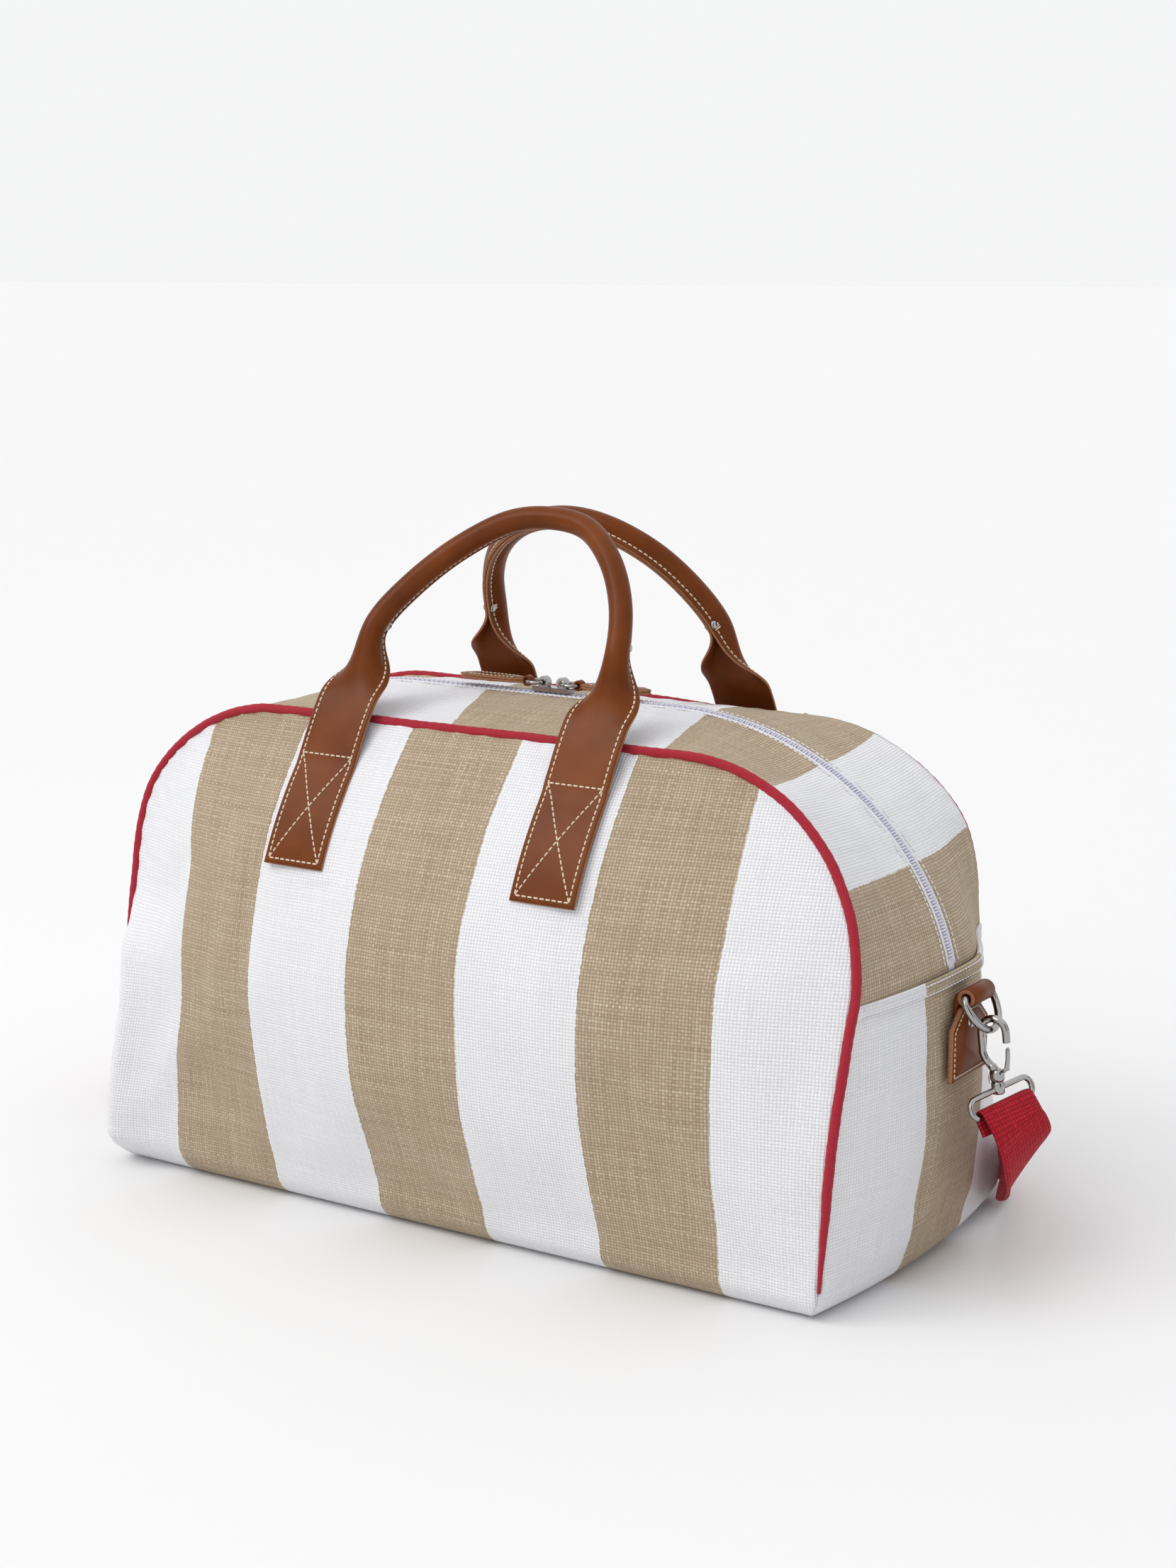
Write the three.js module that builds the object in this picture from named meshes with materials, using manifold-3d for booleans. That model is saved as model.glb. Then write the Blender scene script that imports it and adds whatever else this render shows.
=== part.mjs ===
// Weekender bag. Millimetres, +X right, +Y back, +Z up, origin on the floor under the bag's centre.
import * as THREE from 'three';
import { mergeVertices } from 'three/addons/utils/BufferGeometryUtils.js';
import Module from 'manifold-3d';

const wasm = await Module();
wasm.setup();

// ---- Driving sizes ----------------------------------------------------------------
const HEIGHT = 276;             // height of the piped front and back outline
const FOOT_HALF = 235;          // half length of the outline at the floor
const SHOULDER_Z = 164;         // where the outline starts to turn over
const SLUMP = 20;               // most that a settled shoulder leans in
const SHOULDER_HALF = 246;      // half length there
const CORNER_X = 135;           // centre of the elliptical top corner
const CORNER_A = SHOULDER_HALF - CORNER_X;
const CORNER_B = HEIGHT - SHOULDER_Z + 1;
const FOOT_DEPTH = 109;         // half depth at the piping, at the floor
const DEPTH_TAPER = 37.4;       // how much the half depth loses towards the top
const TUCK = 14;                // radius where the walls turn under the bag
const SEAM = 3.3;               // a panel edge stays this far from the piping centre
const CLOTH = 3;                // wall thickness: cloth, padding and lining cloth together
const GAP = 0.3;                // clearance between neighbouring pieces
const PIPING_R = 2.5;
const SIDE_BULGE = 18.5;

const ZIP_TOP = 285.8;          // height of the straight top of the zipper
const ZIP_FLAT = 86.4;          // half length of the straight part
const ZIP_A = 170;              // zipper corner ellipse
const ZIP_B = 149;
const ZIP_HALF = 4.7;           // half width of the zipper tape

const STRAP_HALF = 19.75;       // half width of the leather handle strap
const LEATHER = 3.5;            // thickness of the handle strap
const FOOT_X = 81.5;            // handle feet left and right of the middle
const FLEX_Z = 254.5;           // top of the sewn foot: the handle folds just above it
const TAB_END_Z = 200;          // lower end of the sewn handle tab

// ---- Materials ---------------------------------------------------------------------
const MATERIALS = {
  cloth: [0xf0f0f2, 0.9, 0], lining: [0xd8cbb4, 0.95, 0], board: [0x8d8478, 0.9, 0],
  piping: [0xbe2334, 0.7, 0], webbing: [0xb41226, 0.8, 0], leather: [0x8c4b23, 0.45, 0],
  tape: [0xeeeef4, 0.7, 0], metal: [0xb8b6b0, 0.25, 1],
};
const materials = {};
for (const [name, [color, roughness, metalness]] of Object.entries(MATERIALS)) {
  materials[name] = new THREE.MeshStandardMaterial({ name, color, roughness, metalness });
}

const bag = new THREE.Group();
bag.name = 'weekender_bag';

function add(name, geometry, material) {
  const mesh = new THREE.Mesh(geometry, materials[material]);
  mesh.name = name;
  bag.add(mesh);
}

// ---- Mesh helpers ------------------------------------------------------------------
const vec = (x, y, z) => new THREE.Vector3(x, y, z);
const clamp = (v, lo, hi) => Math.min(hi, Math.max(lo, v));

function smoothstep(t) {
  const c = clamp(t, 0, 1);
  return c * c * (3 - 2 * c);
}

function volume(points, faces) {
  const cross = new THREE.Vector3();
  let total = 0;
  for (const [a, b, c] of faces) {
    total += points[a].dot(cross.crossVectors(points[b], points[c]));
  }
  return total / 6;
}

// Triangles to a geometry, turned so the faces look outwards.
function solid(points, faces) {
  const outward = volume(points, faces) > 0;
  const index = faces.flatMap(([a, b, c]) => (outward ? [a, b, c] : [a, c, b]));
  const geometry = new THREE.BufferGeometry();
  const flat = points.flatMap((p) => [p.x, p.y, p.z]);
  geometry.setAttribute('position', new THREE.Float32BufferAttribute(flat, 3));
  geometry.setIndex(index);
  geometry.computeVertexNormals();
  return geometry;
}

// A closed skin: outer(u, v) gives its face for u and v in 0..1, and the back lies along
// the inward normal at the given thickness. Nothing goes lower than the floor height.
function skin(outer, columns, rows, thickness, inside, lift = 0, floor = -Infinity) {
  const points = [];
  const step = 1e-4;
  const normal = (u, v) => {
    const u0 = clamp(u, step, 1 - step);
    const v0 = clamp(v, step, 1 - step);
    const du = outer(u0 + step, v0).sub(outer(u0 - step, v0));
    const dv = outer(u0, v0 + step).sub(outer(u0, v0 - step));
    const n = du.cross(dv).normalize();
    return n.dot(inside.clone().sub(outer(u, v))) > 0 ? n : n.negate();
  };
  for (const depth of [-lift, thickness - lift]) {
    for (let j = 0; j <= rows; j += 1) {
      for (let i = 0; i <= columns; i += 1) {
        const u = i / columns;
        const v = j / rows;
        const point = outer(u, v).addScaledVector(normal(u, v), depth);
        point.z = Math.max(point.z, floor);
        points.push(point);
      }
    }
  }
  const at = (layer, i, j) => layer * (columns + 1) * (rows + 1) + j * (columns + 1) + i;
  const faces = [];
  const quad = (a, b, c, d) => faces.push([a, b, c], [a, c, d]);
  for (let j = 0; j < rows; j += 1) {
    for (let i = 0; i < columns; i += 1) {
      quad(at(0, i, j), at(0, i + 1, j), at(0, i + 1, j + 1), at(0, i, j + 1));
      quad(at(1, i, j), at(1, i, j + 1), at(1, i + 1, j + 1), at(1, i + 1, j));
    }
  }
  for (let i = 0; i < columns; i += 1) {
    quad(at(0, i, 0), at(1, i, 0), at(1, i + 1, 0), at(0, i + 1, 0));
    quad(at(0, i, rows), at(0, i + 1, rows), at(1, i + 1, rows), at(1, i, rows));
  }
  for (let j = 0; j < rows; j += 1) {
    quad(at(0, 0, j), at(0, 0, j + 1), at(1, 0, j + 1), at(1, 0, j));
    quad(at(0, columns, j), at(1, columns, j), at(1, columns, j + 1), at(0, columns, j + 1));
  }
  return solid(points, faces);
}

// A closed tube through rings of points; a looped tube joins its last ring to its first. A thin
// ribbon is split along the same diagonals on both faces, so that a twist can't cross them.
function loft(rings, looped = false, ribbon = false) {
  const sides = rings[0].length;
  const points = rings.flat();
  const faces = [];
  const spans = looped ? rings.length : rings.length - 1;
  for (let k = 0; k < spans; k += 1) {
    const here = k * sides;
    const next = ((k + 1) % rings.length) * sides;
    for (let i = 0; i < sides; i += 1) {
      const j = (i + 1) % sides;
      if (ribbon && i >= sides / 2) {
        faces.push([here + i, here + j, next + i], [here + j, next + j, next + i]);
      } else {
        faces.push([here + i, here + j, next + j], [here + i, next + j, next + i]);
      }
    }
  }
  if (!looped) {
    for (const [start, forward] of [[0, false], [(rings.length - 1) * sides, true]]) {
      const centre = new THREE.Vector3();
      for (let i = 0; i < sides; i += 1) centre.add(points[start + i]);
      points.push(centre.divideScalar(sides));
      const hub = points.length - 1;
      for (let i = 0; i < sides; i += 1) {
        const j = (i + 1) % sides;
        faces.push(forward ? [hub, start + i, start + j] : [hub, start + j, start + i]);
      }
    }
  }
  return solid(points, faces);
}

// Rings of a round wire along a path, each square to the path and to a fixed side vector.
function wire(path, radius, side, sides = 8, looped = false) {
  const rings = path.map((p, k) => {
    const before = looped ? path[(k - 1 + path.length) % path.length] : path[Math.max(k - 1, 0)];
    const after = looped ? path[(k + 1) % path.length] : path[Math.min(k + 1, path.length - 1)];
    const along = after.clone().sub(before).normalize();
    const out = along.clone().cross(side).normalize();
    const up = out.clone().cross(along).normalize();
    const r = typeof radius === 'function' ? radius(k / (path.length - 1)) : radius;
    return Array.from({ length: sides }, (_, i) => {
      const a = (2 * Math.PI * i) / sides;
      return p.clone().addScaledVector(out, r * Math.cos(a)).addScaledVector(up, r * Math.sin(a));
    });
  });
  return loft(rings, looped);
}

function toManifold(geometry) {
  const bare = geometry.clone();
  bare.deleteAttribute('normal');
  bare.deleteAttribute('uv');
  const merged = mergeVertices(bare, 1e-4);
  return new wasm.Manifold(new wasm.Mesh({
    numProp: 3,
    vertProperties: Float32Array.from(merged.attributes.position.array),
    triVerts: Uint32Array.from(merged.index.array),
  }));
}

function fromManifold(shape) {
  const mesh = shape.getMesh();
  const geometry = new THREE.BufferGeometry();
  geometry.setAttribute('position', new THREE.Float32BufferAttribute(mesh.vertProperties, 3));
  geometry.setIndex(Array.from(mesh.triVerts));
  geometry.computeVertexNormals();
  return geometry;
}

function joined(...geometries) {
  return fromManifold(geometries.map(toManifold).reduce((a, b) => a.add(b)));
}

function cut(geometry, ...tools) {
  return fromManifold(tools.map(toManifold).reduce((a, b) => a.subtract(b), toManifold(geometry)));
}

const block = (sx, sy, sz, x, y, z) => new THREE.BoxGeometry(sx, sy, sz).translate(x, y, z);

// A short round post whose axis points along a direction, with its near end at a point.
function post(radius, length, at, direction, sides = 12) {
  const turn = new THREE.Quaternion().setFromUnitVectors(vec(0, 1, 0), direction.clone().normalize());
  return new THREE.CylinderGeometry(radius, radius, length, sides)
    .translate(0, length / 2, 0).applyQuaternion(turn).translate(at.x, at.y, at.z);
}

// A domed rivet head standing on a point, its dome towards a direction.
function rivet(radius, thick, at, direction) {
  const profile = [[0, 0], [radius, 0], [radius, thick * 0.4], [radius * 0.6, thick * 0.9], [0, thick]];
  const turn = new THREE.Quaternion().setFromUnitVectors(vec(0, 1, 0), direction.clone().normalize());
  return new THREE.LatheGeometry(profile.map(([r, h]) => new THREE.Vector2(r, h)), 10)
    .applyQuaternion(turn).translate(at.x, at.y, at.z);
}

// A left-hand copy of a right-hand piece.
function mirrored(geometry) {
  const copy = geometry.clone();
  copy.scale(-1, 1, 1);
  const order = copy.index ? Array.from(copy.index.array) : [...copy.attributes.position.array.keys()]
    .slice(0, copy.attributes.position.count);
  for (let i = 0; i < order.length; i += 3) {
    [order[i + 1], order[i + 2]] = [order[i + 2], order[i + 1]];
  }
  copy.setIndex(order);
  copy.computeVertexNormals();
  return copy;
}

// ---- The bag's shape ---------------------------------------------------------------
// How far the walls have drawn in where they turn under the bag.
function tuck(z) {
  return z < TUCK ? TUCK - Math.sqrt(TUCK ** 2 - (TUCK - z) ** 2) : 0;
}

// Half length and half depth of the piped outline at a height.
function halfLength(z, shrink = 0) {
  if (z <= SHOULDER_Z) {
    return FOOT_HALF + ((SHOULDER_HALF - FOOT_HALF) * z) / SHOULDER_Z - shrink;
  }
  const rise = clamp((z - SHOULDER_Z) / (CORNER_B - 1 - shrink), 0, 1);
  return CORNER_X + (CORNER_A - shrink) * Math.sqrt(1 - rise ** 2);
}

function halfDepth(z) {
  return FOOT_DEPTH - DEPTH_TAPER * smoothstep((z / HEIGHT - 0.25) / 0.85);
}

// How far the front and back swell out beyond the piping.
function swell(x, z) {
  const h = z / HEIGHT;
  const across = 1 - Math.min(1, Math.abs(x) / halfLength(z)) ** 2.4;
  return (39.2 + 45.6 * (h - 0.5)) * 4 * h * (1 - h) * across;
}

const frontY = (x, z) => -(halfDepth(z) - tuck(z) + swell(x, z));

// The front left and back right shoulders have settled inwards, so that the bag leans a little.
function settled(p) {
  if (p.x * p.y <= 0) return p;
  const height = smoothstep((p.z - 10) / 110) * (1 - 0.75 * smoothstep((p.z - SHOULDER_Z) / 80));
  const corner = smoothstep((Math.abs(p.x) - 90) / 140) * smoothstep((Math.abs(p.y) - 20) / 75);
  p.x -= Math.sign(p.x) * SLUMP * height * corner;
  return p;
}

// Height for a row number, closer together round the tuck and the top corner.
function rowHeight(v, top) {
  const tuckShare = 0.16;
  const wallShare = 0.5;
  if (v < tuckShare) return TUCK * (1 - Math.cos((Math.PI / 2) * (v / tuckShare)));
  if (v < wallShare) return TUCK + ((SHOULDER_Z - TUCK) * (v - tuckShare)) / (wallShare - tuckShare);
  const turn = (Math.PI / 2) * ((v - wallShare) / (1 - wallShare));
  return SHOULDER_Z + (top - SHOULDER_Z) * Math.sin(turn);
}

function frontPoint(inset) {
  return (u, v) => {
    const z = rowHeight(v, HEIGHT - inset);
    const x = (2 * u - 1) * (halfLength(z, inset) - tuck(z));
    return settled(vec(x, frontY(x, z), z));
  };
}

// Points along the piped outline and along the zipper, by share of the way from the
// middle of the top (0) to the hem on the right (1) or left (-1).
const CORNER_STEPS = 24;

function walk(flatHalf, a, b, baseZ, endZ) {
  const path = [[0, baseZ + b], [flatHalf, baseZ + b]];
  const last = Math.acos(clamp((endZ - baseZ) / b, -1, 1));
  for (let i = 1; i <= CORNER_STEPS; i += 1) {
    const t = (last * i) / CORNER_STEPS;
    path.push([flatHalf + a * Math.sin(t), baseZ + b * Math.cos(t)]);
  }
  const lengths = [0];
  for (let i = 1; i < path.length; i += 1) {
    lengths.push(lengths[i - 1] + Math.hypot(path[i][0] - path[i - 1][0], path[i][1] - path[i - 1][1]));
  }
  return (share) => {
    const target = Math.abs(share) * lengths[lengths.length - 1];
    let i = 1;
    while (i < path.length - 1 && lengths[i] < target) i += 1;
    const t = (target - lengths[i - 1]) / (lengths[i] - lengths[i - 1]);
    const x = path[i - 1][0] + t * (path[i][0] - path[i - 1][0]);
    const z = path[i - 1][1] + t * (path[i][1] - path[i - 1][1]);
    return [Math.sign(share) * x, z];
  };
}

const pipingAt = walk(CORNER_X, CORNER_A, CORNER_B - 1, SHOULDER_Z, SHOULDER_Z);
const zipperAt = walk(ZIP_FLAT, ZIP_A, ZIP_B, ZIP_TOP - ZIP_B, SHOULDER_Z);

// The gusset between the front piping and the zipper tape.
function gussetPoint(u, v) {
  const share = 2 * u - 1;
  const [px, pz] = pipingAt(share);
  const [zx, zz] = zipperAt(share);
  const depth = halfDepth(pz);
  const y = -depth + SEAM + (depth - SEAM - ZIP_HALF - 0.6) * v;
  const w = 1 + y / depth;
  const rise = w * (2 - w);
  return settled(vec(px + (zx - px) * rise, y, pz + (zz - pz) * rise));
}

// The side panel, with the folded hem that covers the end of the gusset.
function sidePoint(u, v) {
  const z = v < 0.25 ? TUCK * (1 - Math.cos((Math.PI / 2) * (v / 0.25)))
    : TUCK + ((SHOULDER_Z - TUCK) * (v - 0.25)) / 0.75;
  const reach = halfDepth(z) - tuck(z) - SEAM;
  const y = (2 * u - 1) * reach;
  const bulge = SIDE_BULGE * (1 - ((z - 84) / 118) ** 2) * (1 - (y / (reach + SEAM)) ** 2);
  const hem = v > 0.9 ? 1.3 : 0;
  return settled(vec(halfLength(z) - tuck(z) + bulge + hem, y, z));
}

const middle = vec(0, 0, 130);
const turned = (geometry) => geometry.clone().rotateZ(Math.PI);

const frontPanel = skin(frontPoint(SEAM), 14, 11, CLOTH, middle);
add('front_panel', frontPanel, 'cloth');
add('back_panel', turned(frontPanel), 'cloth');
const gusset = skin(gussetPoint, 26, 3, CLOTH, middle, 0, SHOULDER_Z + GAP);
add('gusset_front', gusset, 'cloth');
add('gusset_back', turned(gusset), 'cloth');
const sidePanel = skin(sidePoint, 8, 12, CLOTH, middle);
add('side_panel_right', sidePanel, 'cloth');
add('side_panel_left', turned(sidePanel), 'cloth');

// The bottom fills the footprint left inside the tucked walls.
const bottomShape = new THREE.Shape();
const bottomX = FOOT_HALF - TUCK - GAP;
const bottomY = FOOT_DEPTH - TUCK - GAP;
bottomShape.moveTo(-bottomX + SEAM, -bottomY);
bottomShape.lineTo(bottomX - SEAM, -bottomY);
for (const side of [1, -1]) {
  for (let i = -4; i <= 4; i += 1) {
    const t = (side * i) / 4;
    const y = t * (bottomY - SEAM);
    const bulge = SIDE_BULGE * (1 - (84 / 118) ** 2) * (1 - t ** 2) * 0.94;
    bottomShape.lineTo(side * (bottomX + bulge), y);
  }
  bottomShape.lineTo(side * (bottomX - SEAM), side * bottomY);
  if (side === 1) bottomShape.lineTo(-bottomX + SEAM, bottomY);
}
const bottomPanel = new THREE.ExtrudeGeometry(bottomShape, { depth: CLOTH, bevelEnabled: false });
add('bottom_panel', bottomPanel, 'cloth');

// A stiff board lies loose on the bottom, inside the bag.
const board = block(2 * (bottomX - 12), 2 * (bottomY - 12), 2.5, 0, 0, CLOTH + GAP + 1.25);
add('bottom_board', board, 'board');

// Piping: a thin red cord from the floor corner up, over the top and down again.
function pipingPath() {
  const path = [];
  for (let z = TUCK + 2; z < SHOULDER_Z - 6; z += 24) path.push(vec(-halfLength(z), -halfDepth(z), z));
  for (let i = -16; i <= 16; i += 1) {
    const [x, z] = pipingAt(i / 16);
    path.push(vec(x, -halfDepth(z), z));
  }
  for (let z = SHOULDER_Z - 6; z > TUCK; z -= 24) path.push(vec(halfLength(z), -halfDepth(z), z));
  return path.map(settled);
}
const piping = wire(pipingPath(), PIPING_R, vec(0, 1, 0), 5);
add('piping_front', piping, 'piping');
add('piping_back', turned(piping), 'piping');

// Zipper: tape with the closed coil standing a little proud along its middle.
const coilSection = [[-1, -1], [1, -1], [1, 0.2], [0.34, 1.2], [-0.34, 1.2], [-1, 0.2]];
const chainRings = [];
for (let i = -20; i <= 20; i += 1) {
  const share = i / 20.2;
  const [x, z] = zipperAt(share);
  const [ax, az] = zipperAt(clamp(share + 0.01, -0.999, 0.999));
  const [bx, bz] = zipperAt(clamp(share - 0.01, -0.999, 0.999));
  const up = vec(-(az - bz), 0, ax - bx).normalize();
  chainRings.push(coilSection.map(([across, h]) => vec(x + up.x * h, across * ZIP_HALF, z + up.z * h)));
}
add('zipper_chain', loft(chainRings), 'tape');

// ---- Zipper sliders and pulls --------------------------------------------------------
const SLIDER_LENGTH = 12;
const SLIDER_MEET = 6;          // the closed sliders meet a little right of the middle
const EYE_Z = ZIP_TOP + 6.2;    // height of the eye in the slider's bridge
const RING_R = 5.5;

function slider(x) {
  const base = block(SLIDER_LENGTH, 8, 2.5, x, 0, ZIP_TOP + 1.5 + 1.25);
  const arch = new THREE.CylinderGeometry(3.6, 3.6, 3.4, 16).translate(x, 0, EYE_Z);
  const eye = new THREE.CylinderGeometry(2, 2, 9, 12).translate(x, 0, EYE_Z);
  return cut(joined(base, arch), eye);
}

// The ring and the folded leather pull lie along the zipper, away from the other slider.
function pullRing(x, away) {
  const path = [];
  for (let i = 0; i < 20; i += 1) {
    const a = (2 * Math.PI * i) / 20;
    path.push(vec(x + away * RING_R + RING_R * Math.cos(a), RING_R * Math.sin(a), EYE_Z));
  }
  return wire(path, 0.9, vec(0, 0, 1), 6, true);
}

function pullTab(x, away) {
  const eyeX = x + away * 2 * RING_R;
  const outer = new THREE.CylinderGeometry(3, 3, 4.4, 14);
  const inner = new THREE.CylinderGeometry(1.7, 1.7, 20, 10);
  const outline = new THREE.Shape();
  outline.moveTo(0, -2.2);
  outline.lineTo(8, -5);
  outline.lineTo(38, -6.5);
  outline.lineTo(46, 0);
  outline.lineTo(38, 6.5);
  outline.lineTo(8, 5);
  outline.lineTo(0, 2.2);
  const strip = new THREE.ExtrudeGeometry(outline, { depth: 2.8, bevelEnabled: false }).translate(0, 0, -1.4);
  const shape = cut(joined(outer, strip), inner);
  return away > 0 ? shape.translate(eyeX, 0, EYE_Z) : shape.rotateZ(Math.PI).translate(eyeX, 0, EYE_Z);
}

for (const [side, away] of [['left', -1], ['right', 1]]) {
  const x = SLIDER_MEET + (away * (SLIDER_LENGTH + GAP)) / 2;
  add(`zipper_slider_${side}`, slider(x), 'metal');
  add(`pull_ring_${side}`, pullRing(x, away), 'metal');
  add(`pull_tab_${side}`, pullTab(x, away), 'leather');
}

// ---- Handles -------------------------------------------------------------------------
// Each foot is sewn flat to the panel; above the sewn box the strap leaves the bag, folds
// round into a grip and comes down to the other foot.
const HANDLE_PATHS = {
  front: [[-81.5, -91.2, 259], [-80.5, -81, 279], [-78.5, -66, 303], [-75, -53, 326], [-62, -43, 344],
    [-37, -31, 366], [-8, -20, 382], [16, -17, 385], [42, -20, 381], [64, -31, 366], [78, -43, 346],
    [84, -54, 326], [84, -66, 303], [82.5, -81, 279], [81.5, -91.2, 259]],
  back: [[-81.5, 91.2, 259], [-80, 81, 279], [-76.5, 66, 303], [-72, 54, 324], [-66, 43, 344],
    [-52, 31, 362], [-29, 21, 376], [2, 16.5, 382], [28, 18, 378], [52, 29, 364], [70, 42, 344],
    [80, 54, 324], [81.5, 66, 303], [82, 81, 279], [81.5, 91.2, 259]],
};
const ROLL_HALF = 6.3;          // half width of the rolled grip
const ROLL_RISE = 2.4;          // middle of the roll above the handle's line
const FLAP_HALF = 2.2;          // half width of the two flaps sewn together under the roll
const FLAP_END = -8.7;
const FLAP_TOP = -3.5;
const HANDLE_STEPS = 34;

// Half of the strap's section, rolled and flat, as distances across and out from its middle.
const rolledHalf = [[FLAP_HALF, FLAP_END], [FLAP_HALF, FLAP_TOP]];
const flatHalf = [[STRAP_HALF, -LEATHER / 2], [STRAP_HALF, LEATHER / 2]];
for (let i = 0; i < 3; i += 1) {
  const a = (Math.PI / 4) * (i - 1);
  rolledHalf.push([ROLL_HALF * Math.cos(a), ROLL_RISE + ROLL_HALF * Math.sin(a)]);
  flatHalf.push([STRAP_HALF * (0.78 - 0.26 * i), LEATHER / 2 + 0.1 * (i + 1)]);
}

// The strap's section at a length from the nearer foot: flat first, then rolled up with its
// edges sewn together on the side that faces the middle of the bag.
function handleRing(centre, along, face, fromFoot) {
  const fold = smoothstep((fromFoot - 26) / 46);
  const across = along.clone().cross(face).normalize();
  const out = across.clone().cross(along).normalize();
  const half = flatHalf.map(([x, y], i) => [x + (rolledHalf[i][0] - x) * fold, y + (rolledHalf[i][1] - y) * fold]);
  const crown = [0, LEATHER / 2 + 0.4 + (ROLL_RISE + ROLL_HALF - LEATHER / 2 - 0.4) * fold];
  const section = [...half, crown, ...half.map(([x, y]) => [-x, y]).reverse()];
  return section.map(([x, y]) => centre.clone().addScaledVector(across, x).addScaledVector(out, y));
}

function handle(name, points, side) {
  const curve = new THREE.CatmullRomCurve3(points.map((p) => vec(...p)), false, 'centripetal');
  const length = curve.getLength();
  const face = vec(0, side * Math.cos(Math.PI / 6), Math.sin(Math.PI / 6));
  const rings = [];
  for (let i = 0; i <= HANDLE_STEPS; i += 1) {
    const t = i / HANDLE_STEPS;
    const fromFoot = length * Math.min(t, 1 - t);
    rings.push(handleRing(curve.getPointAt(t), curve.getTangentAt(t), face, fromFoot));
  }
  add(`handle_${name}`, loft(rings), 'leather');
  for (const [end, t] of [['left', 78 / length], ['right', 1 - 78 / length]]) {
    const across = curve.getTangentAt(t).cross(face).normalize();
    for (const [where, sign] of [['outer', Math.sign(t - 0.5)], ['inner', Math.sign(0.5 - t)]]) {
      const way = across.clone().multiplyScalar(across.x < 0 ? -sign : sign);
      const at = curve.getPointAt(t).addScaledVector(way, FLAP_HALF + 0.7).addScaledVector(face, -7);
      add(`handle_${name}_rivet_${end}_${where}`, rivet(2.6, 1.6, at, way), 'metal');
    }
  }
}
handle('front', HANDLE_PATHS.front, -1);
handle('back', HANDLE_PATHS.back, 1);

// The sewn foot of a handle lies on the swelling panel.
function footTab(x) {
  const point = (u, v) => {
    const z = TAB_END_Z + (FLEX_Z - TAB_END_Z) * v;
    const across = (2 * u - 1) * STRAP_HALF;
    return vec(x + across, frontY(x + across, z), z);
  };
  return skin(point, 4, 6, LEATHER, middle, LEATHER + GAP);
}
for (const [end, x] of [['left', -FOOT_X], ['right', FOOT_X]]) {
  add(`handle_front_tab_${end}`, footTab(x), 'leather');
  add(`handle_back_tab_${end}`, turned(footTab(-x)), 'leather');
}

// ---- Side tab, leather loop and ring ----------------------------------------------------
const LOOP_X = 267.6;           // axis of the leather loop that holds the ring
const LOOP_Z = 152;
const RING_HALF = 16;           // half width of the D ring, to the middle of its wire
const RING_LEG = 4;             // straight part before the round end
const RING_WIRE = 2;
const RING_TILT = Math.PI / 6;  // the ring hangs out from the side by this much

function sideTab() {
  const outline = new THREE.Shape();
  outline.moveTo(-21.5, 108);
  outline.lineTo(21.5, 108);
  outline.lineTo(21.5, 136);
  outline.lineTo(10, 146.3);
  outline.lineTo(-10, 146.3);
  outline.lineTo(-21.5, 136);
  const plate = new THREE.ExtrudeGeometry(outline, { depth: 2.5, bevelEnabled: false });
  plate.rotateX(Math.PI / 2).rotateZ(Math.PI / 2);
  return plate.translate(262.4, 0, 0);
}

function loopTube() {
  const roll = new THREE.CylinderGeometry(5.2, 5.2, 25, 16).translate(LOOP_X, 0, LOOP_Z);
  const hole = new THREE.CylinderGeometry(2.7, 2.7, 40, 12).translate(LOOP_X, 0, LOOP_Z);
  const tail = block(1.7, 25, 19, 261.2, 0, 143.5);
  const bridge = block(4, 25, 4, 262.6, 0, 151);
  return cut(joined(roll, tail, bridge), hole);
}

// D ring: a straight bar inside the loop, two short legs and a round end.
const ringDown = vec(Math.sin(RING_TILT), 0, -Math.cos(RING_TILT));
const ringCentre = vec(LOOP_X, 0, LOOP_Z).addScaledVector(ringDown, RING_LEG);
const ringEnd = ringCentre.clone().addScaledVector(ringDown, RING_HALF);

function dRing() {
  const corner = 3.5;
  const flat = [];
  for (let i = 0; i <= 16; i += 1) {
    const a = (Math.PI * i) / 16;
    flat.push([RING_HALF * Math.cos(a), RING_LEG + RING_HALF * Math.sin(a)]);
  }
  for (const side of [-1, 1]) {
    for (let i = 0; i <= 4; i += 1) {
      const a = ((side < 0 ? i : 4 - i) * Math.PI) / 8;
      flat.push([side * (RING_HALF - corner + corner * Math.cos(a)), corner - corner * Math.sin(a)]);
    }
  }
  const path = flat.map(([y, down]) => vec(LOOP_X, y, LOOP_Z).addScaledVector(ringDown, down));
  return wire(path, RING_WIRE, ringDown.clone().cross(vec(0, 1, 0)), 7, true);
}

// ---- Snap hook, gate and swivel loop ------------------------------------------------------
const HOOK_R = 6.9;             // hook bend, to the middle of its wire
const HOOK_WIRE = 2;
const HOOK_LEAN = 0.12;         // the hook leans out from the bag by this angle
const BASE_DROP = 26;           // hook base below the ring wire
const PLAY = 1.5;

// Hook pieces are shaped hanging below the origin, then leaned and moved to the ring.
function hung(geometry) {
  return geometry.rotateY(-HOOK_LEAN).translate(ringEnd.x, ringEnd.y, ringEnd.z);
}

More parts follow.
